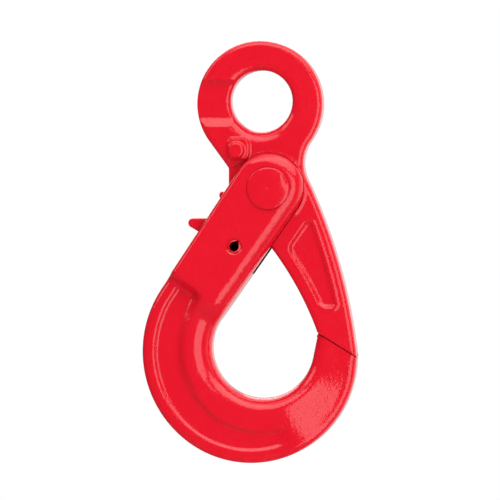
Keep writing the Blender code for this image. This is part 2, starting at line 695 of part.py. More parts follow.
def least_gap(points):
    """Smallest clear distance between stretches of the wire that aren't neighbours along it."""
    fine = []
    for first, second in zip(points, points[1:]):
        fine += [first.lerp(second, k / GAP_STEPS) for k in range(GAP_STEPS)]
    walked = [0.0]
    for first, second in zip(fine, fine[1:]):
        walked.append(walked[-1] + (second - first).length)
    gaps = [
        (fine[i] - fine[j]).length - 2.0 * WIRE_RADIUS
        for i in range(len(fine))
        for j in range(i)
        if walked[i] - walked[j] > COIL_RADIUS * math.pi
    ]
    return min(gaps)


def make_trigger_spring():
    half = spring_half()
    rear = [Vector((p.x, -p.y, p.z)) for p in half[:0:-1]]
    points = rear + half
    curve = bpy.data.curves.new("trigger_spring", "CURVE")
    curve.dimensions = "3D"
    curve.bevel_depth = WIRE_RADIUS
    curve.bevel_resolution = 1
    curve.use_fill_caps = True
    spline = curve.splines.new("POLY")
    spline.points.add(len(points) - 1)
    for point, co in zip(spline.points, points):
        point.co = (co.x, co.y, co.z, 1.0)
    spring = bpy.data.objects.new("trigger_spring", curve)
    bpy.context.scene.collection.objects.link(spring)
    print(f"trigger_spring: least gap to itself {1000.0 * least_gap(points):.2f} mm")
    finish(spring, SPRING_STEEL, WIRE_ROUGHNESS, 1.0, hook_pivot)


make_eye_latch()
make_hook_body()
make_load_pin()
make_trigger_pin()
make_trigger()
make_trigger_spring()
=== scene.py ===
import json
import math

import bpy
import numpy as np
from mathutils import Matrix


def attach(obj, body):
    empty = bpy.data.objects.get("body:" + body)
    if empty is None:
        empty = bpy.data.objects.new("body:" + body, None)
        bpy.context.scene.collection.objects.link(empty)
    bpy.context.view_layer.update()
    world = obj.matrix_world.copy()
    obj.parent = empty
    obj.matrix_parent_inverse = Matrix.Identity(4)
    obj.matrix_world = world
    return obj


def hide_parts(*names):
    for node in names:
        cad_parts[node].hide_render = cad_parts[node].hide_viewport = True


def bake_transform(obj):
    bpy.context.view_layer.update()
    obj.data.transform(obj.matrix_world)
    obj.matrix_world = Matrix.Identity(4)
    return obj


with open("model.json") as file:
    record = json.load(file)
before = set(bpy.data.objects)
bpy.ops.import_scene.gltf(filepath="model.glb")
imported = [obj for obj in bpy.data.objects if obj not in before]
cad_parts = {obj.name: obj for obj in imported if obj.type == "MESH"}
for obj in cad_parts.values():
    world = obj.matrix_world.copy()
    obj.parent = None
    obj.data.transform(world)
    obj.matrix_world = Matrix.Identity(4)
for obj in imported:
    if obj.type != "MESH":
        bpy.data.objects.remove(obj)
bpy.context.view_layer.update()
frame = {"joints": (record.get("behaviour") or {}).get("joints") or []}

# Eye, neck, hub and latch arm are one drop forging of alloy steel, 16 mm thick, which hangs by the eye.
# The flash is trimmed, the hub is milled thinner to run between the fork's cheeks, and all is enamelled.
# Sizes are in mm, angles in degrees, and points are (x, z) in the front view.
MM = 0.001
LOAD_PIN, TRIGGER_PIN = (np.array(joint["pos_m"])[[0, 2]] / MM for joint in frame["joints"])
LATCH_HALF = 8.0
LATCH_EDGE_ROUND = 2.6
EYE_BORE_RADIUS = 16.0
EYE_BORE_ROUND = 3.4
EYE_WEAR_ROUND = 6.4
EYE_WEAR_SHIFT = 1.4
EYE_WEAR_ANGLE = 245.0
EYE_MIDDLE = np.array((-0.9, -1.4))
EYE_OUTER_RADIUS = 32.7
FLANK_ANGLE = 216.0
FLANK_FILLET = 12.0
THROAT_X = 21.9
THROAT_FILLET = 20.0
HUB_RADIUS = 19.4
HUB_HALF = 6.7
HUB_BORE_RADIUS = 9.3
ARM_FRONT_RADIUS = 170.0
ARM_BACK_RADIUS = 290.0
FAR = 80.0  # how far a cutter reaches past the steel

# The circles of the hook, which the arm's end and the room for the fork follow. It swings by 30 degrees.
BOWL_MIDDLE = np.array((0.7, -127.8))
BOWL_RADIUS = 26.4
BACK_MIDDLE = np.array((-3.7, -129.9))
BACK_RADIUS = 58.4
BELLY_RADIUS = 55.0
BELLY_ANGLE = 237.7
FORK_RADIUS = 18.2
HOOK_SWING = 31.0
TIP_FLARE = 1.7
TIP_RISE = 7.8
SEAM_GAP = 0.5


def toward(degrees):
    return np.array((math.cos(math.radians(degrees)), math.sin(math.radians(degrees))))


def bearing(vector):
    return math.degrees(math.atan2(vector[1], vector[0])) % 360.0


def unit(vector):
    return vector / math.hypot(*vector)


def meet(centre_a, radius_a, centre_b, radius_b):
    """The point at both distances from two centres that lies to the right of the way from a to b."""
    gap = math.dist(centre_a, centre_b)
    way = unit(centre_b - centre_a)
    ahead = (radius_a**2 - radius_b**2 + gap**2) / (2.0 * gap)
    aside = math.sqrt(radius_a**2 - ahead**2)
    return centre_a + ahead * way + aside * np.array((way[1], -way[0]))


def hit(point, way, centre, radius, side):
    """Where a straight line meets a circle: the nearer point for side -1, the farther for side 1."""
    offset = point - centre
    half = offset @ way
    return point + way * (side * math.sqrt(half**2 - offset @ offset + radius**2) - half)


belly_middle = BACK_MIDDLE + (BACK_RADIUS - BELLY_RADIUS) * toward(BELLY_ANGLE)
fork_outer_turn = math.degrees(math.acos((BACK_RADIUS - FORK_RADIUS) / math.dist(LOAD_PIN, BACK_MIDDLE)))
fork_outer_normal = bearing(LOAD_PIN - BACK_MIDDLE) + fork_outer_turn
fork_inner_turn = math.degrees(math.acos((FORK_RADIUS + BOWL_RADIUS) / math.dist(LOAD_PIN, BOWL_MIDDLE)))
fork_inner_normal = bearing(BOWL_MIDDLE - LOAD_PIN) + fork_inner_turn
seam_inner = BOWL_MIDDLE + (BOWL_RADIUS + TIP_FLARE, TIP_RISE)
seam_outer = belly_middle + (BELLY_RADIUS, 0.0)
seam_way = unit(seam_outer - seam_inner)
seam_up = np.array((-seam_way[1], seam_way[0]))

# Outline of the forging, round from the throat over the eye, down the flank, hub and arm, and up again.
# Its end has some steel more, which is milled off later.
MILL_ALLOWANCE = 1.5
arm_inner = seam_inner + seam_up * SEAM_GAP / 2.0
arm_outer = seam_outer + seam_up * SEAM_GAP / 2.0
throat_reach = EYE_OUTER_RADIUS + THROAT_FILLET
throat_x = THROAT_X + THROAT_FILLET
throat_drop = math.sqrt(throat_reach**2 - (throat_x - EYE_MIDDLE[0]) ** 2)
throat = np.array((throat_x, EYE_MIDDLE[1] - throat_drop))
eye_start = EYE_MIDDLE + EYE_OUTER_RADIUS * unit(throat - EYE_MIDDLE)
flank_out = toward(FLANK_ANGLE)
flank_way = toward(FLANK_ANGLE + 90.0)
flank_start = EYE_MIDDLE + EYE_OUTER_RADIUS * flank_out
fillet_line = flank_start + FLANK_FILLET * flank_out
fillet = hit(fillet_line, flank_way, LOAD_PIN, HUB_RADIUS + FLANK_FILLET, side=-1.0)
front = meet(LOAD_PIN, ARM_FRONT_RADIUS + HUB_RADIUS, arm_inner, ARM_FRONT_RADIUS)
rear = meet(throat, ARM_BACK_RADIUS + THROAT_FILLET, arm_outer, ARM_BACK_RADIUS)
latch_strokes = (
    (EYE_MIDDLE + (0.0, EYE_OUTER_RADIUS), EYE_MIDDLE),
    (flank_start, EYE_MIDDLE),
    (fillet - FLANK_FILLET * flank_out,),
    (LOAD_PIN + HUB_RADIUS * unit(fillet - LOAD_PIN), fillet),
    (LOAD_PIN + HUB_RADIUS * unit(front - LOAD_PIN), LOAD_PIN),
    (arm_inner, front),
    (arm_inner - MILL_ALLOWANCE * seam_up,),
    (arm_outer - MILL_ALLOWANCE * seam_up,),
    (arm_outer,),
    (throat + THROAT_FILLET * unit(rear - throat), rear),
    (eye_start, throat),
)


def take_up(obj):
    """Selects one object alone and makes it the active one."""
    bpy.ops.object.select_all(action="DESELECT")
    obj.select_set(True)
    bpy.context.view_layer.objects.active = obj


def started(name):
    """Names the primitive that was just added, and puts its place into its mesh."""
    obj = bpy.context.object
    obj.name = name
    obj.data.name = name
    bpy.ops.object.transform_apply(location=True, rotation=True, scale=True)
    return obj


def pick(obj, kind, test):
    """Selects the faces or edges of a mesh in edit mode that pass a test, and nothing else."""
    bpy.ops.mesh.select_mode(type=kind)
    bpy.ops.mesh.select_all(action="DESELECT")
    bpy.ops.object.mode_set(mode="OBJECT")
    mesh = obj.data
    if kind == "FACE":
        for face in mesh.polygons:
            face.select = test(face.normal)
    else:
        for edge in mesh.edges:
            edge.select = test(*(mesh.vertices[i].co / MM for i in edge.vertices))
    bpy.ops.object.mode_set(mode="EDIT")


MERGE_GAP = 0.02


def trace(name, start, strokes, y_low, y_high, chord=1.2):
    """Draws an outline from one vertex, fills it and extrudes it. A stroke is an end point, for a straight pull,
    or an end point and a centre, for a spin in steps of about one chord."""
    bpy.ops.object.select_all(action="DESELECT")
    bpy.ops.mesh.primitive_plane_add(size=MM)
    obj = started(name)
    bpy.ops.object.mode_set(mode="EDIT")
    bpy.ops.mesh.select_mode(type="VERT")
    bpy.ops.mesh.select_all(action="SELECT")
    bpy.ops.mesh.merge(type="CENTER")
    bpy.ops.transform.translate(value=(start[0] * MM, y_low * MM, start[1] * MM))
    here = start
    for end, *centre in strokes:
        if centre:
            first, last = (bearing(point - centre[0]) for point in (here, end))
            turn = math.radians((last - first + 180.0) % 360.0 - 180.0)
            bpy.ops.mesh.spin(
                steps=max(3, math.ceil(abs(turn) * math.dist(here, centre[0]) / chord)),
                angle=turn,
                center=(centre[0][0] * MM, y_low * MM, centre[0][1] * MM),
                axis=(0.0, 1.0, 0.0),
            )
        else:
            step = (end - here) * MM
            bpy.ops.mesh.extrude_region_move(TRANSFORM_OT_translate={"value": (step[0], 0.0, step[1])})
        here = end
    bpy.ops.mesh.select_all(action="SELECT")
    bpy.ops.mesh.remove_doubles(threshold=MERGE_GAP * MM)
    bpy.ops.mesh.edge_face_add()
    bpy.ops.mesh.extrude_region_move(TRANSFORM_OT_translate={"value": (0.0, (y_high - y_low) * MM, 0.0)})
    bpy.ops.mesh.select_all(action="SELECT")
    bpy.ops.mesh.normals_make_consistent(inside=False)
    bpy.ops.object.mode_set(mode="OBJECT")
    return obj


def round_edges(obj, radius, segments, test):
    """Bevels the edges of a mesh that pass a test."""
    take_up(obj)
    bpy.ops.object.mode_set(mode="EDIT")
    pick(obj, "EDGE", test)
    bpy.ops.mesh.bevel(
        offset=radius * MM, offset_type="OFFSET", segments=segments, profile=0.5, clamp_overlap=False
    )
    bpy.ops.object.mode_set(mode="OBJECT")


def block(name, low, high):
    """A box between two corners, as a start for a boss or a cutter."""
    bpy.ops.object.select_all(action="DESELECT")
    bpy.ops.mesh.primitive_cube_add(
        size=MM,
        location=[(a + b) / 2.0 * MM for a, b in zip(low, high)],
        scale=[b - a for a, b in zip(low, high)],
    )
    return started(name)


def seam_bar(name, lift, size, roll):
    """A bar along the seam between arm and tip, lifted off it and rolled about its length."""
    middle = ((seam_inner + seam_outer) / 2.0 + lift * seam_up) * MM
    tilt = math.atan2(-seam_way[1], seam_way[0])
    bpy.ops.object.select_all(action="DESELECT")
    bpy.ops.mesh.primitive_cube_add(
        size=MM, location=(middle[0], 0.0, middle[1]), rotation=(math.radians(roll), tilt, 0.0), scale=size
    )
    return started(name)


def rod(name, centre, radius, y_low, y_high, sides=96):
    """A round bar along Y, as a start for a pin or a drill."""
    bpy.ops.object.select_all(action="DESELECT")
    bpy.ops.mesh.primitive_cylinder_add(
        vertices=sides,
        radius=radius * MM,
        depth=(y_high - y_low) * MM,
        location=(centre[0] * MM, (y_low + y_high) / 2.0 * MM, centre[1] * MM),
        rotation=(math.pi / 2.0, 0.0, 0.0),
    )
    return started(name)


def turn_end(obj, centre, facing, side, start, steps):
    """Grows one end of a round bar step by step, as a lathe would leave it, each step a (radius, level)."""
    take_up(obj)
    bpy.ops.object.mode_set(mode="EDIT")
    pick(obj, "FACE", facing)
    radius, level = start
    for next_radius, next_level in steps:
        bpy.ops.mesh.extrude_region_move(
            TRANSFORM_OT_translate={"value": (0.0, side * (next_level - level) * MM, 0.0)}
        )
        grow = next_radius / radius
        pole = (centre[0] * MM, side * next_level * MM, centre[1] * MM)
        bpy.ops.transform.resize(value=(grow, 1.0, grow), center_override=pole)
        radius, level = next_radius, next_level
    bpy.ops.object.mode_set(mode="OBJECT")


def wedge(name, x_low, x_high, corners):
    """A bar along X with its four corners set in (y, z), as a cutter for a flat with sloped ends. They run from
    the upper outside over the upper and lower inside to the lower outside."""
    obj = block(name, (x_low, -1.0, -1.0), (x_high, 1.0, 1.0))
    for vertex in obj.data.vertices:
        above = vertex.co.z > 0.0
        deep = vertex.co.y > 0.0
        y, z = corners[(1 if deep else 0) if above else (2 if deep else 3)]
        vertex.co.y = y * MM
        vertex.co.z = z * MM
    return obj


def taper(obj, share, centre, test):
    """Shrinks or spreads one face of a block about a point, for the draft of a die."""
    take_up(obj)
    bpy.ops.object.mode_set(mode="EDIT")
    pick(obj, "FACE", test)
    pole = (centre[0] * MM, 0.0, centre[1] * MM)
    bpy.ops.transform.resize(value=(share, 1.0, share), center_override=pole)
    bpy.ops.object.mode_set(mode="OBJECT")


def on_both_faces(obj):
    """Joins a mirrored copy to a boss or a cutter of the front face, for the back one."""
    take_up(obj)
    bpy.ops.object.duplicate()
    twin = bpy.context.object
    twin.scale.y = -1.0
    bpy.ops.object.transform_apply(location=True, rotation=True, scale=True)
    obj.select_set(True)
    bpy.context.view_layer.objects.active = obj
    bpy.ops.object.join()
    bpy.ops.object.mode_set(mode="EDIT")
    bpy.ops.mesh.select_all(action="SELECT")
    bpy.ops.mesh.normals_make_consistent(inside=False)
    bpy.ops.object.mode_set(mode="OBJECT")
    return obj


def work(obj, tool, operation):
    """Adds or cuts a solid with another one, which is used up."""
    take_up(obj)
    modifier = obj.modifiers.new(operation.lower(), "BOOLEAN")
    modifier.operation = operation
    modifier.object = tool
    modifier.solver = "MANIFOLD"
    bpy.ops.object.modifier_apply(modifier=modifier.name)
    bpy.data.objects.remove(tool)


def forge(obj, grain, passes):
    """Gives a forging its soft blends: one even skin over all its forms, relaxed a little."""
    take_up(obj)
    skin = obj.modifiers.new("skin", "REMESH")
    skin.mode = "VOXEL"
    skin.voxel_size = grain * MM
    bpy.ops.object.modifier_apply(modifier=skin.name)
    relax = obj.modifiers.new("relax", "SMOOTH")
    relax.factor = 0.5
    relax.iterations = passes
    bpy.ops.object.modifier_apply(modifier=relax.name)


CRISP_ANGLE = 40.0


def paint(obj, *materials):
    """Shades a finished piece, with its machined edges kept crisp, and gives it its finishes."""
    take_up(obj)
    obj.data.materials.clear()
    bpy.ops.object.shade_smooth_by_angle(angle=math.radians(CRISP_ANGLE))
    for material in materials:
        obj.data.materials.append(material)


LEVEL_SLACK = 0.001
SQUARE_ON = 0.9


def level_edge(a, b):
    return abs(a.y - b.y) < LEVEL_SLACK


def facing_front(normal):
    return normal.y < -SQUARE_ON


def facing_back(normal):
    return normal.y > SQUARE_ON


latch = trace("latch_forging", eye_start, latch_strokes, -LATCH_HALF, LATCH_HALF)
round_edges(latch, LATCH_EDGE_ROUND, segments=6, test=level_edge)

# The eye's hole is drilled, then both its mouths are rounded off for the link that runs in it
BORE_SLACK = 0.01
work(latch, rod("eye_drill", (0.0, 0.0), EYE_BORE_RADIUS, -FAR, FAR, sides=128), "DIFFERENCE")


def mouth_edge(a, b):
    on_bore = all(abs(math.hypot(p.x, p.z) - EYE_BORE_RADIUS) < BORE_SLACK for p in (a, b))
    return on_bore and level_edge(a, b)


round_edges(latch, EYE_BORE_ROUND, segments=10, test=mouth_edge)

# The neck slopes down to the hub under the boss, and the lug for the trigger hangs below it
FLANK_RELIEF_TOP = -30.4
FLANK_RELIEF_END = -35.0
FLANK_RELIEF_RIGHT = -4.0
PROUD = 0.3  # how far a cutter stands out of the face that it cuts
LUG_LOW = (-17.0, -HUB_HALF, -45.6)
LUG_HIGH = (-9.6, HUB_HALF, -33.0)
relief_rise = (FLANK_RELIEF_TOP - FLANK_RELIEF_END) * PROUD / (LATCH_HALF - HUB_HALF)
relief_corners = (
    (-LATCH_HALF - PROUD, FLANK_RELIEF_TOP + relief_rise),
    (-HUB_HALF, FLANK_RELIEF_END),
    (-HUB_HALF, -FAR),
    (-LATCH_HALF - PROUD, -FAR),
)
work(latch, on_both_faces(wedge("flank_relief", -FAR, FLANK_RELIEF_RIGHT, relief_corners)), "DIFFERENCE")
work(latch, block("lock_lug", LUG_LOW, LUG_HIGH), "UNION")

# Where the link bears, low in the eye, the hole's mouth is rounded off wider
STEM_INSET = 1.0
FLARE_STEPS = 12


def bore_flare(name, centre, radius, rounding, level):
    """A trumpet along Y, on a slimmer stem, that rounds off a hole's front mouth at one level."""
    start = level - rounding
    stem = radius - STEM_INSET
    obj = rod(name, centre, stem, -start, 0.0, sides=128)
    steps = [
        (radius + rounding * (1.0 - math.cos(turn)), start + rounding * math.sin(turn))
        for turn in np.linspace(0.0, math.pi / 2.0, FLARE_STEPS)[1:]
    ]
    steps.append((radius + rounding, level + PROUD))
    turn_end(obj, centre, facing_front, -1.0, (stem, start), steps)
    return obj


wear_middle = EYE_WEAR_SHIFT * toward(EYE_WEAR_ANGLE)
wear_radius = EYE_BORE_RADIUS - EYE_WEAR_SHIFT
wear = bore_flare("bore_wear", wear_middle, wear_radius, EYE_WEAR_ROUND, LATCH_HALF)
work(latch, on_both_faces(wear), "DIFFERENCE")

# Stop boss on its square foot, on both faces. Each has its centre, side, height, the share that the draft of
# the die leaves of its top, and the rounding of its corners.
BOSS_ROOT = 1.0
BOSS_STEPS = (
    ("boss_foot", (-12.0, -24.8), 12.2, 1.6, 0.90, 3.0),
    ("boss", (-13.0, -25.5), 8.8, 3.4, 0.88, 3.4),
)
for name, centre, side, height, draft, corner in BOSS_STEPS:
    half = side / 2.0
    low = (centre[0] - half, -LATCH_HALF - height, centre[1] - half)
    boss = block(name, low, (centre[0] + half, -HUB_HALF + BOSS_ROOT, centre[1] + half))
    taper(boss, draft, centre, facing_front)
    round_edges(boss, corner, segments=5, test=lambda a, b: not level_edge(a, b))
    work(latch, on_both_faces(boss), "UNION")

# Shallow panel in the arm, set in by one margin, with round corners, the slope that frees it from the die
# and a low lip where the steel was pushed up round it
POCKET_MARGIN = 5.7
POCKET_FORK_MARGIN = 6.5
POCKET_TOP = -61.6
POCKET_END_RISE = 12.0
POCKET_DEPTH = 1.2
POCKET_SLOPE = 2.3
POCKET_CORNER = 4.0
POCKET_TOP_CORNER = 1.6
LIP_WIDTH = 0.5
LIP_HEIGHT = 0.25
PANEL_STOCK = 4.0
PANEL_CHORD = 9.0
CORNER_SLACK = 0.1


def arm_panel(name, spread, y_low, y_high):
    """A block with the panel's outline, spread over its edges, with its corners rounded."""
    start = LOAD_PIN + (FORK_RADIUS + POCKET_FORK_MARGIN - spread) * toward(fork_inner_normal)
    down = toward(fork_inner_normal - 90.0)
    top_level = np.array((0.0, POCKET_TOP + spread))
    end_level = np.array((0.0, seam_inner[1] + POCKET_END_RISE - spread))
    across = np.array((1.0, 0.0))
    front_edge = (front, ARM_FRONT_RADIUS + POCKET_MARGIN - spread)
    rear_edge = (rear, ARM_BACK_RADIUS - POCKET_MARGIN + spread)
    top_left = start + down * (top_level - start)[1] / down[1]
    top_right = hit(top_level, across, *rear_edge, 1.0)
    left = hit(start, down, *front_edge, -1.0)
    low_left = hit(end_level, across, *front_edge, 1.0)
    low_right = hit(end_level, across, *rear_edge, 1.0)
    strokes = ((low_left, front), (low_right,), (top_right, rear), (top_left,), (left,))
    obj = trace(name, left, strokes, y_low, y_high, PANEL_CHORD)
    rounded = ((POCKET_CORNER, (left, low_left, low_right)), (POCKET_TOP_CORNER, (top_left, top_right)))
    for radius, corners in rounded:

        def corner_edge(a, b):
            at_corner = any(math.dist((a.x, a.z), corner) < CORNER_SLACK for corner in corners)
            return at_corner and not level_edge(a, b)

        round_edges(obj, radius, segments=6, test=corner_edge)
    return obj


lip = arm_panel("panel_lip", LIP_WIDTH, -LATCH_HALF - LIP_HEIGHT, -HUB_HALF)
work(latch, on_both_faces(lip), "UNION")
panel = arm_panel("arm_panel", 0.0, -LATCH_HALF - PANEL_STOCK, -LATCH_HALF - LIP_HEIGHT - PROUD)
bpy.ops.object.mode_set(mode="EDIT")
pick(panel, "FACE", facing_back)
bpy.ops.mesh.inset(thickness=POCKET_SLOPE * MM, depth=(POCKET_DEPTH + LIP_HEIGHT + PROUD) * MM)
bpy.ops.object.mode_set(mode="OBJECT")
work(latch, on_both_faces(panel), "DIFFERENCE")

# Shallow flat across the left of the eye, with a short ramp above it and a long one below
EYE_FLAT_DEPTH = 1.9
EYE_FLAT_HALF = 8.7
EYE_RAMP_ABOVE = 2.6
EYE_RAMP_BELOW = 4.6
EYE_FLAT_ROUND = 2.4
rise = (EYE_FLAT_DEPTH + PROUD) / EYE_FLAT_DEPTH
flat_corners = (
    (-LATCH_HALF - PROUD, EYE_FLAT_HALF + EYE_RAMP_ABOVE * rise),
    (-LATCH_HALF + EYE_FLAT_DEPTH, EYE_FLAT_HALF),
    (-LATCH_HALF + EYE_FLAT_DEPTH, -EYE_FLAT_HALF),
    (-LATCH_HALF - PROUD, -EYE_FLAT_HALF - EYE_RAMP_BELOW * rise),
)
work(latch, on_both_faces(wedge("eye_flat", -FAR, 0.0, flat_corners)), "DIFFERENCE")
flat_level = LATCH_HALF - EYE_FLAT_DEPTH
bore_flat = bore_flare("bore_flat", np.zeros(2), EYE_BORE_RADIUS, EYE_FLAT_ROUND, flat_level)
flat_window = block("flat_window", (-FAR, -FAR, -EYE_FLAT_HALF), (0.0, FAR, EYE_FLAT_HALF))
work(bore_flat, flat_window, "INTERSECT")
work(latch, on_both_faces(bore_flat), "DIFFERENCE")

# The room for the fork's cheeks is milled on both faces, and the hub is bored. Enamel gathers in the joint,
# in a low bead around the cheeks.
ROOM_GAP = 0.12
BEAD_WIDTH = 1.0
BEAD_HEIGHT = 0.3
BEAD_END = -59.0
open_angle = fork_outer_normal - HOOK_SWING


def cheek_room(name, gap):
    """A block with the outline that the fork sweeps as it opens, with a gap around it."""
    start = LOAD_PIN + (FORK_RADIUS + gap) * toward(fork_inner_normal)
    end = LOAD_PIN + (FORK_RADIUS + gap) * toward(open_angle)
    strokes = (
        (end, LOAD_PIN),
        (end + FAR * toward(open_angle + 90.0),),
        (start + FAR * toward(fork_inner_normal - 90.0),),
        (start,),
    )
    return trace(name, start, strokes, -FAR, -HUB_HALF, chord=0.6)


take_up(latch)
bpy.ops.object.duplicate()
bead = bpy.context.object
bead.location.y = -BEAD_HEIGHT * MM
bpy.ops.object.transform_apply(location=True, rotation=True, scale=True)
work(bead, cheek_room("bead_window", BEAD_WIDTH), "INTERSECT")
work(bead, block("bead_span", (-FAR, -FAR, BEAD_END), (FAR, FAR, FAR)), "INTERSECT")
work(latch, on_both_faces(bead), "UNION")
forge(latch, grain=0.5, passes=5)
work(latch, on_both_faces(cheek_room("cheek_room", ROOM_GAP)), "DIFFERENCE")
work(latch, rod("hub_drill", LOAD_PIN, HUB_BORE_RADIUS, -FAR, FAR), "DIFFERENCE")

# The arm's end is milled flat and grooved, so that the hook's tip can't be pushed out sideways
SEAM_LENGTH = 24.0
GROOVE_SIDE = 3.4
END_MILL = (60.0, 60.0, 8.0)
work(latch, seam_bar("end_mill", SEAM_GAP / 2.0 - END_MILL[2] / 2.0, END_MILL, 0.0), "DIFFERENCE")
groove = seam_bar("tip_groove", SEAM_GAP / 2.0, (SEAM_LENGTH, GROOVE_SIDE, GROOVE_SIDE), 45.0)
work(latch, groove, "DIFFERENCE")

# The sharp corner at the outer end of the seam is filed off, here and on the hook
FILED_X = 49.55
FILED_LOW = -136.0
corner_file = ((FILED_X, -FAR, FILED_LOW), (FAR, FAR, 0.0))
work(latch, block("arm_file", *corner_file), "DIFFERENCE")


def to_linear(hex_colour):
    """Linear RGBA of an sRGB hex colour."""
    channels = [int(hex_colour[i : i + 2], 16) / 255.0 for i in (1, 3, 5)]
    return [c / 12.92 if c <= 0.04045 else ((c + 0.055) / 1.055) ** 2.4 for c in channels] + [1.0]


def node(tree, kind, settings=None, inputs=None):
    """Adds a node with its settings. An input is a value, or the output of another node to link."""
    new = tree.nodes.new(kind)
    for name, value in (settings or {}).items():
        setattr(new, name, value)
    for name, value in (inputs or {}).items():
        socket = new.inputs[name]
        if isinstance(value, bpy.types.NodeSocket):
            tree.links.new(value, socket)
        else:
            socket.default_value = value
    return new


# Sockets of a colour Mix node, which have the same names as its sockets for numbers
MIX_A, MIX_B, MIX_RESULT = 6, 7, 2


def new_finish(name):
    """A material named for a finish, with its tree, its shader and the place on the piece."""
    material = bpy.data.materials.new(name)
    material.use_nodes = True
    tree = material.node_tree
    place = node(tree, "ShaderNodeTexCoord").outputs["Object"]
    return material, tree, tree.nodes["Principled BSDF"], place


def two_tones(tree, pattern, first, second):
    """The colour that goes from one sRGB hex tone to another with a pattern."""
    mix = {"Factor": pattern, MIX_A: to_linear(first), MIX_B: to_linear(second)}
    return node(tree, "ShaderNodeMix", {"data_type": "RGBA"}, mix).outputs[MIX_RESULT]


# Gloss red enamel, sprayed on the scaled skin of a forging. The skin leaves soft lumps below it, so highlights
# have ragged edges, and it dries with a fine orange peel. On crests the red is painted darker, a painted shade.
ENAMEL_RED = ("#C50C1F", "#CB1024")
ENAMEL_CREST_SHADE = "#B50A17"
CLOUD_SIZE = 22.0
GLOSS_PATCH_SIZE = 6.0
GLOSS_ROUGHNESS = (0.10, 0.18)
PEEL_SIZE = 1.1
PEEL_HEIGHT = 0.02
CREST_BEND = (0.52, 0.60)
CREST_SHADE_SHARE = 0.35
NOISE_SPAN = (0.3, 0.7)


def forged_enamel(name, lump_size, lump_height):
    """The enamel over lumps of one size and height in mm."""
    material, tree, shader, place = new_finish(name)
    shader.inputs["Specular IOR Level"].default_value = 0.4
    cloud = node(
        tree,
        "ShaderNodeTexNoise",
        inputs={"Vector": place, "Scale": 1.0 / (CLOUD_SIZE * MM), "Detail": 3.0, "Roughness": 0.6},
    )
    # Painted shade: where Pointiness shows a crest, the red is mixed towards a darker tone
    crest_shade = node(
        tree,
        "ShaderNodeMapRange",
        inputs={
            "Value": node(tree, "ShaderNodeNewGeometry").outputs["Pointiness"],
            "From Min": CREST_BEND[0],
            "From Max": CREST_BEND[1],
            "To Min": 0.0,
            "To Max": CREST_SHADE_SHARE,
        },
    )
    coat = node(
        tree,
        "ShaderNodeMix",
        {"data_type": "RGBA"},
        {
            "Factor": crest_shade.outputs["Result"],
            MIX_A: two_tones(tree, cloud.outputs["Fac"], *ENAMEL_RED),
            MIX_B: to_linear(ENAMEL_CREST_SHADE),
        },
    )
    tree.links.new(coat.outputs[MIX_RESULT], shader.inputs["Base Color"])
    gloss = node(
        tree,
        "ShaderNodeTexNoise",
        inputs={"Vector": place, "Scale": 1.0 / (GLOSS_PATCH_SIZE * MM), "Detail": 4.0, "Roughness": 0.6},
    )
    rough = node(
        tree,
        "ShaderNodeMapRange",
        inputs={
            "Value": gloss.outputs["Fac"],
            "From Min": NOISE_SPAN[0],
            "From Max": NOISE_SPAN[1],
            "To Min": GLOSS_ROUGHNESS[0],
            "To Max": GLOSS_ROUGHNESS[1],
        },
    )
    tree.links.new(rough.outputs["Result"], shader.inputs["Roughness"])
    lumps = node(
        tree,
        "ShaderNodeTexNoise",
        inputs={"Vector": place, "Scale": 1.0 / (lump_size * MM), "Detail": 2.0, "Roughness": 0.6},
    )
    under = node(
        tree,
        "ShaderNodeBump",
        inputs={"Strength": 1.0, "Distance": lump_height * MM, "Height": lumps.outputs["Fac"]},
    )
    peel = node(
        tree,
        "ShaderNodeTexNoise",
        inputs={"Vector": place, "Scale": 1.0 / (PEEL_SIZE * MM), "Detail": 1.0, "Roughness": 0.5},
    )
    over = node(
        tree,
        "ShaderNodeBump",
        inputs={
            "Strength": 1.0,
            "Distance": PEEL_HEIGHT * MM,
            "Height": peel.outputs["Fac"],
            "Normal": under.outputs["Normal"],
        },
    )
    tree.links.new(over.outputs["Normal"], shader.inputs["Normal"])
    return material


paint(latch, forged_enamel("gloss_enamel_on_latch_forging", lump_size=2.6, lump_height=0.11))
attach(latch, "eye_latch")
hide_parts("eye_latch")

# The hook is the second forging: a bowl with a full bulb on its inside, a shallow channel and a rim, which
# swells into the thick fork above. The fork's slot and its cross bores are machined, and all is enamelled.
FORK_HALF = 14.5
FORK_ROUND_INNER = 8.2
FORK_ROUND_END = 5.4
FORK_END_DROP = 3.0
FORK_ROUND_BACK = 2.8
BULB_HALF = 11.0
BULB_ROUND = 10.5
BULB_ROUND_LOW = 7.0
BULB_WALL = 2.2
TIP_HALF = 7.5
TIP_LEAN = 2.0
TIP_SLANT = 12.0
TIP_MARGIN = 5.0
CHANNEL_DEPTH = 3.0
CHANNEL_RISE = 1.6
RIM_HEIGHT = 1.3
RIM_HEIGHT_LOW = 1.0
RIM_WIDTH = 7.5
RIM_ROUND = 3.4
RIM_SLOPE = 1.3
TIP_ANGLE = 352.0
MID_RADIUS = 45.0
fork_start_angle = fork_inner_normal - 180.0

# Where its forms blend: runs are in mm past the foot of the fork, turns are angles about the bowl's middle
SWELL_RUN = (-9.0, 6.0)
STEP_RUN = (0.7, 6.0)
LOW_TURN = (195.0, 240.0)
BULB_ROUND_TURN = (200.0, 240.0)
LEAN_TURN = (280.0, 300.0)
UPRIGHT_TURN = (318.0, 342.0)
TIP_TURN = (282.0, 340.0)
CHANNEL_END_TURN = (280.0, 289.0)

# The slope at the bulb's foot, across the section: its start and end in mm, how far each moves along the bottom,
# and the share of a narrow section that each may take
SLOPE_START, SLOPE_START_MOVE, SLOPE_START_SHARE = 13.2, 3.4, 0.52
SLOPE_END, SLOPE_END_MOVE, SLOPE_END_SHARE = 19.0, -0.8, 0.56
ROUND_POINTS = 21
FACE_POINTS = 70
BOWL_STATIONS = 130
FORK_STATIONS = 40


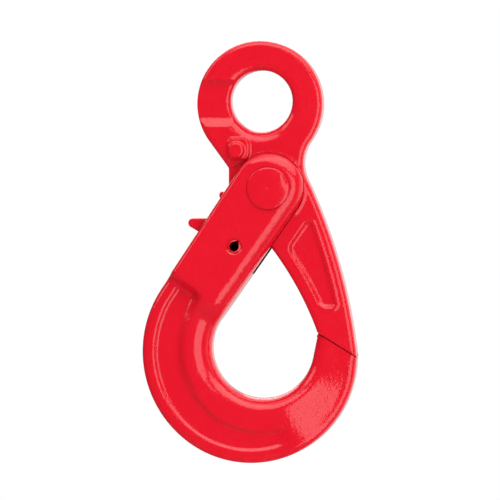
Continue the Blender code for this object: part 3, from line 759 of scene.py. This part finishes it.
def ease(value, start, end):
    share = np.clip((value - start) / (end - start), 0.0, 1.0)
    return share * share * (3.0 - 2.0 * share)


def outer_edge(angle):
    """Where a ray from the bowl's middle meets the hook's outer edge: the straight of the fork, the back or the
    belly."""
    way = toward(angle)
    edge = hit(BOWL_MIDDLE, way, BACK_MIDDLE, BACK_RADIUS, 1.0)
    turn = bearing(edge - BACK_MIDDLE)
    if turn < fork_outer_normal:
        normal = toward(fork_outer_normal)
        gap = FORK_RADIUS - (BOWL_MIDDLE - LOAD_PIN) @ normal
        return BOWL_MIDDLE + way * (gap / (way @ normal))
    if turn > BELLY_ANGLE:
        return hit(BOWL_MIDDLE, way, belly_middle, BELLY_RADIUS, 1.0)
    return edge


def skin_line(inner, outer, run, angle):
    """Front skin of one section, from the middle of its inner edge to that of its outer edge, as (place, half).
    The bulb's foot is a wide slope beside the fork and a crisp line along the bottom, and the tip is thinner."""
    width = math.dist(inner, outer)
    swell = ease(run, *SWELL_RUN)
    step = ease(run, *STEP_RUN)
    low = ease(angle, *LOW_TURN)
    bulb_round = BULB_ROUND + (BULB_ROUND_LOW - BULB_ROUND) * ease(angle, *BULB_ROUND_TURN)
    round_in = bulb_round + (FORK_ROUND_INNER - bulb_round) * swell
    round_out = RIM_ROUND + (FORK_ROUND_BACK - RIM_ROUND) * step
    turn = np.linspace(0.0, math.pi / 2.0, ROUND_POINTS)
    inner_round = round_in * (1.0 - np.cos(turn))
    face = np.linspace(round_in, width - round_out, FACE_POINTS)[1:-1]
    outer_round = width - round_out * (1.0 - np.cos(turn[::-1]))
    across = np.concatenate((np.zeros(1), inner_round, face, outer_round, np.full(1, width)))
    late = angle - TIP_SLANT * across / width
    lean = TIP_LEAN * ease(late, *LEAN_TURN) * (1.0 - ease(late, *UPRIGHT_TURN))
    bulb = BULB_HALF + (TIP_HALF - BULB_HALF) * ease(late, *TIP_TURN)
    leaning = np.clip(across, BULB_ROUND / 2.0, width - TIP_MARGIN) - BULB_ROUND / 2.0
    bulb -= lean * leaning / (width - BULB_ROUND / 2.0)
    channel = (1.0 - step) * (1.0 - ease(angle, *CHANNEL_END_TURN))
    floor = bulb - (CHANNEL_DEPTH - CHANNEL_RISE * low) * channel + (FORK_HALF - bulb) * step
    rim = floor + (RIM_HEIGHT + (RIM_HEIGHT_LOW - RIM_HEIGHT) * low) * channel
    bulb = bulb + (FORK_HALF - bulb) * swell
    wall = BULB_WALL + (FORK_HALF - FORK_ROUND_INNER - BULB_WALL) * swell
    ledge = min(SLOPE_START + SLOPE_START_MOVE * low, width * SLOPE_START_SHARE)
    foot = min(SLOPE_END + SLOPE_END_MOVE * low, width * SLOPE_END_SHARE)
    rim_foot = width - RIM_WIDTH
    height = bulb + (floor - bulb) * ease(across, ledge, foot)
    height += (rim - floor) * ease(across, rim_foot, rim_foot + RIM_SLOPE)
    inward = np.clip((round_in - across) / round_in, 0.0, 1.0)
    outward = np.clip((across - width + round_out) / round_out, 0.0, 1.0)
    height = wall + (height - wall) * np.sqrt(1.0 - inward**2)
    height -= round_out * (1.0 - np.sqrt(1.0 - outward**2))
    height[0] = 0.0
    height[-1] = 0.0
    places = inner + (outer - inner) * (across / width)[:, None]
    return places, height


def skin_loop(places, height):
    """A closed section: the front skin from the inner to the outer edge and the back skin home again."""
    front = np.column_stack((places[:, 0], -height, places[:, 1]))
    rear = np.column_stack((places[:, 0], height, places[:, 1]))
    return np.concatenate((front, rear[-2:0:-1])) * MM


SEAM_MERGE = 0.0001


def wrapped(name, loops):
    """Bends a grid round into a skin through closed section loops, and closes its two ends."""
    stations = len(loops)
    girth = len(loops[0])
    bpy.ops.object.select_all(action="DESELECT")
    bpy.ops.mesh.primitive_grid_add(x_subdivisions=girth, y_subdivisions=stations - 1, size=1.0)
    obj = started(name)
    rows = [np.concatenate((loop, loop[:1])) for loop in loops]
    obj.data.vertices.foreach_set("co", np.concatenate(rows).ravel())
    bpy.ops.object.mode_set(mode="EDIT")
    bpy.ops.mesh.select_mode(type="VERT")
    bpy.ops.mesh.select_all(action="SELECT")
    bpy.ops.mesh.remove_doubles(threshold=SEAM_MERGE * MM)
    bpy.ops.mesh.select_all(action="DESELECT")
    bpy.ops.mesh.select_non_manifold()
    bpy.ops.mesh.fill_holes(sides=0)
    bpy.ops.mesh.select_all(action="SELECT")
    bpy.ops.mesh.normals_make_consistent(inside=False)
    bpy.ops.object.mode_set(mode="OBJECT")
    return obj


tip_inner, tip_outer = (end + (MILL_ALLOWANCE - SEAM_GAP / 2.0) * seam_up for end in (seam_inner, seam_outer))
sections = [skin_loop(*skin_line(tip_inner, tip_outer, -FAR, TIP_ANGLE))]
for angle in np.linspace(TIP_ANGLE, fork_start_angle, BOWL_STATIONS):
    inner = BOWL_MIDDLE + BOWL_RADIUS * toward(angle)
    run = (fork_start_angle - angle) * math.radians(MID_RADIUS)
    sections.append(skin_loop(*skin_line(inner, outer_edge(angle), run, angle)))
start_inner = BOWL_MIDDLE + BOWL_RADIUS * toward(fork_start_angle)
start_outer = outer_edge(fork_start_angle)
end_inner = LOAD_PIN + FORK_RADIUS * toward(fork_inner_normal)
end_outer = LOAD_PIN + FORK_RADIUS * toward(fork_outer_normal)
fork_length = math.dist((start_inner + start_outer) / 2.0, LOAD_PIN)
for share in np.linspace(0.0, 1.0, FORK_STATIONS)[1:]:
    inner = start_inner + (end_inner - start_inner) * share
    outer = start_outer + (end_outer - start_outer) * share
    sections.append(skin_loop(*skin_line(inner, outer, fork_length * share, fork_start_angle)))
hook = wrapped("hook_forging", sections)

# The fork's round end turns about the load pin, its rounding wide over the top and narrow at the back. Shares of
# the turn from the inner side over the top to the back say where one rounding blends into the next.
TOP_SHARE = (0.0, 0.3)
BACK_SHARE = (0.55, 1.0)
CONE_SHARE = (0.1, 0.4)
CONE_END_SHARE = (0.6, 1.0)
CONE_STRAIGHTNESS = 0.5
SPOKES = 61
SPOKE_POINTS = 17
spokes = []
for turn in np.linspace(0.0, 1.0, SPOKES):
    angle = fork_inner_normal - 360.0 + turn * (fork_outer_normal - fork_inner_normal + 360.0)
    spread = FORK_ROUND_INNER + (FORK_ROUND_END - FORK_ROUND_INNER) * ease(turn, *TOP_SHARE)
    spread += (FORK_ROUND_BACK - FORK_ROUND_END) * ease(turn, *BACK_SHARE)
    cone = ease(turn, *CONE_SHARE) * (1.0 - ease(turn, *CONE_END_SHARE))
    drop = spread + (FORK_END_DROP - spread) * cone
    quarter = np.linspace(0.0, math.pi / 2.0, SPOKE_POINTS)
    power = 1.0 + CONE_STRAIGHTNESS * cone
    across = np.concatenate((FORK_RADIUS - spread * (1.0 - np.cos(quarter) ** power), np.zeros(1)))
    height = np.concatenate((FORK_HALF - drop * (1.0 - np.sin(quarter) ** power), np.full(1, FORK_HALF)))
    places = LOAD_PIN + across[:, None] * toward(angle)
    front_skin = np.column_stack((places[:, 0], -height, places[:, 1]))
    rear_skin = np.column_stack((places[:, 0], height, places[:, 1]))
    spokes.append(np.concatenate((front_skin[::-1], rear_skin)) * MM)
work(hook, wrapped("fork_end", spokes), "UNION")
forge(hook, grain=0.64, passes=5)

# Slot for the hub and the trigger, seats for the load pin's heads and bore for the slotted pin are machined
SLOT_HALF = 7.0
SLOT_DROP = 45.5
SLOT_TILT = 8.0
PIN_SEAT_RADIUS = 11.1
PIN_SEAT_LEVEL = 12.0
TRIGGER_PIN_SEAT = 3.55
TRIGGER_PIN_MOUTH = 4.4
TRIGGER_PIN_MOUTH_DEPTH = 0.7
TONGUE_SIDE = 2.8


def slot_floor(x):
    """Height of the slot's floor, which rises towards the back of the fork."""
    return LOAD_PIN[1] - SLOT_DROP + (LOAD_PIN[0] - x) * math.tan(math.radians(SLOT_TILT))


slot_start = np.array((-FAR, slot_floor(-FAR)))
slot_strokes = (
    (np.array((FAR, slot_floor(FAR))),),
    (np.array((FAR, FAR)),),
    (np.array((-FAR, FAR)),),
    (slot_start,),
)
work(hook, trace("slot", slot_start, slot_strokes, -SLOT_HALF, SLOT_HALF), "DIFFERENCE")
work(hook, rod("load_pin_drill", LOAD_PIN, HUB_BORE_RADIUS, -FAR, FAR), "DIFFERENCE")
work(hook, on_both_faces(rod("pin_seat", LOAD_PIN, PIN_SEAT_RADIUS, -FAR, -PIN_SEAT_LEVEL)), "DIFFERENCE")
work(hook, rod("trigger_pin_drill", TRIGGER_PIN, TRIGGER_PIN_SEAT, -FAR, FAR, 64), "DIFFERENCE")
mouth = rod("pin_mouth", TRIGGER_PIN, TRIGGER_PIN_MOUTH, -FAR, -FORK_HALF, 64)
mouth_step = (TRIGGER_PIN_SEAT - 0.2, TRIGGER_PIN_MOUTH_DEPTH - FORK_HALF)
turn_end(mouth, TRIGGER_PIN, facing_back, 1.0, (TRIGGER_PIN_MOUTH, -FORK_HALF), (mouth_step,))
work(hook, on_both_faces(mouth), "DIFFERENCE")
work(hook, seam_bar("tip_mill", (END_MILL[2] - SEAM_GAP) / 2.0, END_MILL, 0.0), "DIFFERENCE")
tongue = seam_bar("tip_tongue", -SEAM_GAP / 2.0, (SEAM_LENGTH - 0.9, TONGUE_SIDE, TONGUE_SIDE), 45.0)
work(hook, tongue, "UNION")
work(hook, block("tip_file", *corner_file), "DIFFERENCE")

# The slot's walls get a near-black finish with a faint mottle: painted shade for the dark inside of the slot
slot_shade_black = bpy.data.materials.new("painted_shade_in_slot")
slot_shade_black.use_nodes = True
tree = slot_shade_black.node_tree
shader = tree.nodes["Principled BSDF"]
place = node(tree, "ShaderNodeTexCoord").outputs["Object"]
slot_shade_mottle = node(tree, "ShaderNodeTexNoise", inputs={"Vector": place, "Scale": 1.0 / 0.004, "Detail": 3.0})
tone = node(tree, "ShaderNodeMix", {"data_type": "RGBA"}, {"Factor": slot_shade_mottle.outputs["Fac"]})
tone.inputs[6].default_value = to_linear("#0C0909")
tone.inputs[7].default_value = to_linear("#1E1213")
tree.links.new(tone.outputs[2], shader.inputs["Base Color"])
shader.inputs["Roughness"].default_value = 0.6
shader.inputs["Specular IOR Level"].default_value = 0.12
milled = node(tree, "ShaderNodeBump", inputs={"Distance": 0.00005, "Height": slot_shade_mottle.outputs["Fac"]})
tree.links.new(milled.outputs["Normal"], shader.inputs["Normal"])
paint(hook, forged_enamel("gloss_enamel_on_hook_forging", lump_size=2.8, lump_height=0.14), slot_shade_black)
# Faces inside the slot take the near-black painted shade
for face in hook.data.polygons:
    x, y, z = face.center / MM
    if abs(y) < SLOT_HALF + 0.02 and z > slot_floor(x) - 0.05:
        face.material_index = 1
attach(hook, "hook")
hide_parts("hook_body")

# The load pin is turned from bar. Its two ends are upset into the seats of the cheeks, which leaves low rolled
# heads with a centre mark and a facet from the riveting tool, and the enamel runs over them.
PIN_SHANK_RADIUS = 9.0
PIN_SHANK_HALF = 12.3
PIN_HEAD_STEPS = (
    (11.0, 12.3),
    (11.0, 14.95),
    (10.85, 15.2),
    (10.5, 15.38),
    (10.0, 15.48),
    (9.2, 15.56),
    (8.0, 15.64),
    (6.0, 15.75),
    (4.0, 15.83),
    (0.7, 15.9),
    (0.5, 15.86),
    (0.3, 15.74),
    (0.1, 15.7),
)
FACET_ANGLE = 20.0
FACET_REACH = 7.4
FACET_LEVEL = 15.68
FACET_TILT = 8.0
load_pin = rod("load_pin_turned", LOAD_PIN, PIN_SHANK_RADIUS, -PIN_SHANK_HALF, PIN_SHANK_HALF)
pin_start = (PIN_SHANK_RADIUS, PIN_SHANK_HALF)
turn_end(load_pin, LOAD_PIN, facing_front, -1.0, pin_start, PIN_HEAD_STEPS)
turn_end(load_pin, LOAD_PIN, facing_back, 1.0, pin_start, PIN_HEAD_STEPS)
facet_way = toward(FACET_ANGLE) * math.sin(math.radians(FACET_TILT))
facet_foot = LOAD_PIN + FACET_REACH * toward(FACET_ANGLE)
facet_out = np.array((facet_way[0], -math.cos(math.radians(FACET_TILT)), facet_way[1]))
facet_middle = np.array((facet_foot[0], -FACET_LEVEL, facet_foot[1])) + facet_out * FAR / 2.0
bpy.ops.object.select_all(action="DESELECT")
bpy.ops.mesh.primitive_cube_add(
    size=FAR * MM,
    location=facet_middle * MM,
    rotation=(-math.asin(facet_out[2]), 0.0, math.atan2(facet_out[0], -facet_out[1])),
)
work(load_pin, on_both_faces(started("facet_tool")), "DIFFERENCE")
paint(load_pin, forged_enamel("gloss_enamel_on_turned_pin", lump_size=4.0, lump_height=0.06))
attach(load_pin, "hook")
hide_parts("load_pin")

# The trigger's axle is a slotted spring pin, rolled from strip and driven flush into the cheeks. Its ends took
# the enamel; its bore is closed by a plug and coloured near-black, a painted shade for the hole's dark inside.
SPRING_PIN_RADIUS = 3.5
SPRING_PIN_BORE = 1.95
SPRING_PIN_HALF = 14.3
SPRING_PIN_CHAMFER = 0.5
SLIT_HALF = 0.5
SLIT_ANGLE = 55.0
BORE_PLUG_HALF = 9.0
outer_gap = math.degrees(math.asin(SLIT_HALF / SPRING_PIN_RADIUS))
inner_gap = math.degrees(math.asin(SLIT_HALF / SPRING_PIN_BORE))
outer_turns = (outer_gap, 179.0, -outer_gap)
inner_turns = (-inner_gap, 179.0, inner_gap)
outside = [TRIGGER_PIN + SPRING_PIN_RADIUS * toward(SLIT_ANGLE + turn) for turn in outer_turns]
inside = [TRIGGER_PIN + SPRING_PIN_BORE * toward(SLIT_ANGLE + turn) for turn in inner_turns]
pin_strokes = (
    (outside[1], TRIGGER_PIN),
    (outside[2], TRIGGER_PIN),
    (inside[0],),
    (inside[1], TRIGGER_PIN),
    (inside[2], TRIGGER_PIN),
    (outside[0],),
)
spring_pin = trace("slotted_pin", outside[0], pin_strokes, -SPRING_PIN_HALF, SPRING_PIN_HALF, 0.35)
round_edges(spring_pin, SPRING_PIN_CHAMFER, 2, level_edge)
bore_plug = rod("bore_plug", TRIGGER_PIN, SPRING_PIN_RADIUS - 0.4, -BORE_PLUG_HALF, BORE_PLUG_HALF, 48)
work(spring_pin, bore_plug, "UNION")
# Near-black finish with a faint mottle for the bore and its plug: painted shade
bore_shade_black = bpy.data.materials.new("painted_shade_in_bore")
bore_shade_black.use_nodes = True
tree = bore_shade_black.node_tree
shader = tree.nodes["Principled BSDF"]
place = node(tree, "ShaderNodeTexCoord").outputs["Object"]
bore_shade_mottle = node(tree, "ShaderNodeTexNoise", inputs={"Vector": place, "Scale": 1.0 / 0.0015, "Detail": 3.0})
tone = node(tree, "ShaderNodeMix", {"data_type": "RGBA"}, {"Factor": bore_shade_mottle.outputs["Fac"]})
tone.inputs[6].default_value = to_linear("#060505")
tone.inputs[7].default_value = to_linear("#140C0B")
tree.links.new(tone.outputs[2], shader.inputs["Base Color"])
shader.inputs["Roughness"].default_value = 0.6
shader.inputs["Specular IOR Level"].default_value = 0.1
bore_bump = node(
    tree, "ShaderNodeBump", inputs={"Strength": 0.6, "Distance": 0.0002, "Height": bore_shade_mottle.outputs["Fac"]}
)
tree.links.new(bore_bump.outputs["Normal"], shader.inputs["Normal"])
paint(spring_pin, forged_enamel("enamel_on_rolled_pin", lump_size=2.0, lump_height=0.1), bore_shade_black)
# Faces inside the bore take the near-black painted shade
for face in spring_pin.data.polygons:
    x, y, z = face.center / MM
    if math.dist((x, z), TRIGGER_PIN) < SPRING_PIN_BORE + 0.1 and abs(y) < SPRING_PIN_HALF - 0.3:
        face.material_index = 1
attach(spring_pin, "hook")
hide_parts("trigger_pin")

# The trigger is a cast steel lever in the slot: a nose that props the hub's lug, a thin web on the pin between
# the two coils of the spring, and a thumb tab behind the fork. It is enamelled with the rest.
TRIGGER_HALF = 6.2
TRIGGER_WEB_HALF = 2.3
TRIGGER_RELIEF = 13.0
TRIGGER_BORE = 3.8
TRIGGER_HUB_RADIUS = 6.2
TRIGGER_HUB_END = 365.0
TRIGGER_WAIST = 6.0
NOSE_ANGLE = 187.0
NOSE_INNER_RADIUS = 19.8
NOSE_OUTER_RADIUS = 26.4
NOSE_LIP_RADIUS = 21.8
NOSE_LIP_RISE = 3.6
NOSE_HORN_RADIUS = 25.3
TAB_TOP = 14.6
TAB_REACH = 24.7
TAB_TIP_RADIUS = 2.4
TAB_TIP_END = 240.0
TAB_HEEL = np.array((-19.0, 7.5))
nose_in = LOAD_PIN + NOSE_INNER_RADIUS * toward(NOSE_ANGLE)
nose_out = LOAD_PIN + NOSE_OUTER_RADIUS * toward(NOSE_ANGLE)
lever = (nose_in + nose_out) / 2.0 - TRIGGER_PIN
nose_lip = LOAD_PIN + NOSE_LIP_RADIUS * toward(NOSE_ANGLE)
nose_horn = LOAD_PIN + NOSE_HORN_RADIUS * toward(NOSE_ANGLE - NOSE_LIP_RISE)
waist = TRIGGER_PIN + lever / 2.0
aside = unit(np.array((lever[1], -lever[0]))) * TRIGGER_WAIST / 2.0
tab_tip = TRIGGER_PIN + (TAB_TIP_RADIUS - TAB_REACH, TAB_TOP - TAB_TIP_RADIUS)
heel = TRIGGER_PIN + TAB_HEEL
heel_turn = math.degrees(math.acos(TRIGGER_HUB_RADIUS / math.hypot(*TAB_HEEL)))
under_tab = TRIGGER_PIN + TRIGGER_HUB_RADIUS * toward(bearing(TAB_HEEL) + heel_turn)
trigger_strokes = (
    (nose_lip,),
    (nose_horn,),
    (nose_out,),
    (np.array((waist[0] - aside[0], TRIGGER_PIN[1] + TAB_TOP)),),
    (tab_tip + (0.0, TAB_TIP_RADIUS),),
    (tab_tip + TAB_TIP_RADIUS * toward(TAB_TIP_END), tab_tip),
    (heel,),
    (under_tab,),
    (TRIGGER_PIN + TRIGGER_HUB_RADIUS * toward(TRIGGER_HUB_END), TRIGGER_PIN),
    (waist + aside,),
    (nose_in,),
)
trigger = trace("release_trigger", nose_in, trigger_strokes, -TRIGGER_HALF, TRIGGER_HALF, 0.6)
relief = rod("relief", TRIGGER_PIN, TRIGGER_RELIEF, -FAR, -TRIGGER_WEB_HALF)
work(trigger, on_both_faces(relief), "DIFFERENCE")
work(trigger, rod("trigger_drill", TRIGGER_PIN, TRIGGER_BORE, -FAR, FAR, 64), "DIFFERENCE")
forge(trigger, 0.3, 6)
paint(trigger, forged_enamel("gloss_enamel_on_cast_trigger", lump_size=2.0, lump_height=0.06))
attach(trigger, "trigger")
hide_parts("trigger")

# The double torsion spring is wound from 1 mm spring steel wire. Its bridge lifts the tab, its two legs stand
# on the slot's floor, and it got only a mist of the enamel inside the fork.
WIRE_RADIUS = 0.5
WIRE_GAP = 0.3
COIL_RADIUS = 4.8
COIL_TURNS = 1.75
COIL_INNER_Y = 3.1
COIL_OUTER_Y = 6.0
BRIDGE_REACH = 11.0
up_tab = unit(heel - under_tab)
off_tab = unit(under_tab - TRIGGER_PIN)
reach = math.sqrt(BRIDGE_REACH**2 - TRIGGER_HUB_RADIUS**2)
bridge = under_tab + reach * up_tab + (WIRE_GAP + WIRE_RADIUS) * off_tab
coil_turn = math.degrees(math.acos(COIL_RADIUS / math.dist(bridge, TRIGGER_PIN)))
coil_start = bearing(bridge - TRIGGER_PIN) + coil_turn
coil_end = coil_start + 360.0 * COIL_TURNS
leave = toward(coil_end + 90.0)
last = TRIGGER_PIN + COIL_RADIUS * toward(coil_end)
stand = (WIRE_RADIUS + WIRE_GAP) / math.cos(math.radians(SLOT_TILT))
drop = last[1] - stand - slot_floor(last[0])
leg_end = last - leave * drop / (leave[1] + leave[0] * math.tan(math.radians(SLOT_TILT)))
path = [(bridge[0], y, bridge[1]) for y in np.linspace(0.0, -COIL_INNER_Y + 0.8, 4)]
path += [(bridge[0] + 0.15, -COIL_INNER_Y + 0.3, bridge[1] - 0.07)]
path += [(bridge[0] + 0.6, -COIL_INNER_Y, bridge[1] - 0.3)]
for share in np.linspace(0.0, 1.0, 57):
    spot = TRIGGER_PIN + COIL_RADIUS * toward(coil_start + 360.0 * COIL_TURNS * share)
    path.append((spot[0], -COIL_INNER_Y - (COIL_OUTER_Y - COIL_INNER_Y) * share, spot[1]))
path.append((leg_end[0], -COIL_OUTER_Y, leg_end[1]))
path = np.array(path)
path = np.concatenate((path[:0:-1] * (1.0, -1.0, 1.0), path))
along = np.gradient(path, axis=0)
along /= np.linalg.norm(along, axis=1)[:, None]
loops = []
side = np.cross(along[0], (0.0, 1.0, 0.0))
for point, way in zip(path, along):
    side = side - way * (side @ way)
    side = side / np.linalg.norm(side)
    other = np.cross(way, side)
    turn = np.linspace(0.0, 2.0 * math.pi, 13)[:-1, None]
    loops.append((point + WIRE_RADIUS * (np.cos(turn) * side + np.sin(turn) * other)) * MM)
spring = wrapped("torsion_spring", loops)
spring_steel = bpy.data.materials.new("drawn_spring_steel")
spring_steel.use_nodes = True
tree = spring_steel.node_tree
shader = tree.nodes["Principled BSDF"]
shader.inputs["Metallic"].default_value = 1.0
place = node(tree, "ShaderNodeTexCoord").outputs["Object"]
mist = node(tree, "ShaderNodeTexNoise", inputs={"Vector": place, "Scale": 1.0 / 0.004, "Detail": 3.0})
tone = node(tree, "ShaderNodeMix", {"data_type": "RGBA"}, {"Factor": mist.outputs["Fac"]})
tone.inputs[6].default_value = to_linear("#8E9094")
tone.inputs[7].default_value = to_linear("#8A6A68")
tree.links.new(tone.outputs[2], shader.inputs["Base Color"])
dull = node(
    tree,
    "ShaderNodeMapRange",
    inputs={"Value": mist.outputs["Fac"], "From Min": 0.3, "From Max": 0.7, "To Min": 0.28, "To Max": 0.5},
)
tree.links.new(dull.outputs["Result"], shader.inputs["Roughness"])
paint(spring, spring_steel)
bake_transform(spring)
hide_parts("trigger_spring")

# A plain pale floor below the hanging hook, and an even white studio round it
FLOOR_LEVEL = -1.10
bpy.ops.object.select_all(action="DESELECT")
bpy.ops.mesh.primitive_circle_add(vertices=128, radius=3.0, fill_type="NGON", location=(0.0, 0.0, FLOOR_LEVEL))
floor = started("studio_floor")
pale = bpy.data.materials.new("pale_studio_floor")
pale.use_nodes = True
pale.node_tree.nodes["Principled BSDF"].inputs["Base Color"].default_value = to_linear("#F4F4F2")
pale.node_tree.nodes["Principled BSDF"].inputs["Roughness"].default_value = 0.8
floor.data.materials.append(pale)
floor.visible_glossy = False

world = bpy.data.worlds.new("white_studio")
bpy.context.scene.world = world
world.use_nodes = True
tree = world.node_tree
tree.nodes.clear()
ray = node(tree, "ShaderNodeLightPath")
seen = node(tree, "ShaderNodeBackground", inputs={"Color": (1.0, 1.0, 1.0, 1.0), "Strength": 1.0})
way = node(tree, "ShaderNodeTexCoord").outputs["Generated"]
sides = node(tree, "ShaderNodeSeparateXYZ", inputs={"Vector": way})
facing = node(tree, "ShaderNodeVectorMath", {"operation": "DOT_PRODUCT"}, {0: way, 1: (0.8, 0.6, 0.0)})
behind = node(
    tree,
    "ShaderNodeMapRange",
    inputs={"Value": facing.outputs["Value"], "From Min": 0.5, "From Max": 0.85, "To Min": 0.12, "To Max": 1.8},
)
above = node(
    tree,
    "ShaderNodeMapRange",
    inputs={"Value": sides.outputs["Z"], "From Min": 0.55, "From Max": 0.95, "To Min": 0.12, "To Max": 1.9},
)
glow = node(
    tree, "ShaderNodeMath", {"operation": "MAXIMUM"}, {0: behind.outputs["Result"], 1: above.outputs["Result"]}
)
fill = node(
    tree, "ShaderNodeBackground", inputs={"Color": (1.0, 1.0, 1.0, 1.0), "Strength": glow.outputs["Value"]}
)
both = node(
    tree,
    "ShaderNodeMixShader",
    inputs={0: ray.outputs["Is Camera Ray"], 1: fill.outputs["Background"], 2: seen.outputs["Background"]},
)
node(tree, "ShaderNodeOutputWorld", inputs={"Surface": both.outputs["Shader"]})

SOFTBOXES = (
    ("softbox_right", (0.83, -1.80, -0.30), (1.35, 1.60), 18.6),
    ("softbox_top", (0.40, -1.10, 1.20), (2.50, 1.30), 27.5),
    ("softbox_left", (-1.55, -0.75, 0.95), (0.90, 0.90), 7.0),
    ("softbox_back", (-0.50, 1.60, 1.00), (1.60, 1.20), 16.0),
)
aim = np.array((0.005, 0.0, -0.078))
for name, spot, size, power in SOFTBOXES:
    bpy.ops.object.select_all(action="DESELECT")
    bpy.ops.object.light_add(type="AREA", location=spot)
    lamp = bpy.context.object
    lamp.name = name
    lamp.data.shape = "RECTANGLE"
    lamp.data.size = size[0]
    lamp.data.size_y = size[1]
    lamp.data.energy = power
    away = np.array(spot) - aim
    flat = math.hypot(away[0], away[1])
    lamp.rotation_euler = (math.atan2(flat, away[2]), 0.0, math.atan2(away[0], -away[1]))

# A long lens a little to the right of the front, as for a catalogue
CAMERA_DISTANCE = 3.0
CAMERA_RIGHT = math.radians(5.0)
CAMERA_ABOVE = math.radians(0.5)
FRAME_WIDTH = 0.26
FRAME_MIDDLE = np.array((-0.00655, 0.0, -0.07728))
level = CAMERA_DISTANCE * math.cos(CAMERA_ABOVE)
stand = FRAME_MIDDLE + np.array(
    (level * math.sin(CAMERA_RIGHT), -level * math.cos(CAMERA_RIGHT), CAMERA_DISTANCE * math.sin(CAMERA_ABOVE))
)
bpy.ops.object.camera_add(location=stand, rotation=(math.pi / 2.0 - CAMERA_ABOVE, 0.0, CAMERA_RIGHT))
camera = bpy.context.object
camera.data.sensor_width = 36.0
camera.data.lens = camera.data.sensor_width * CAMERA_DISTANCE / FRAME_WIDTH
bpy.context.scene.camera = camera
bpy.context.scene.view_settings.view_transform = "Standard"
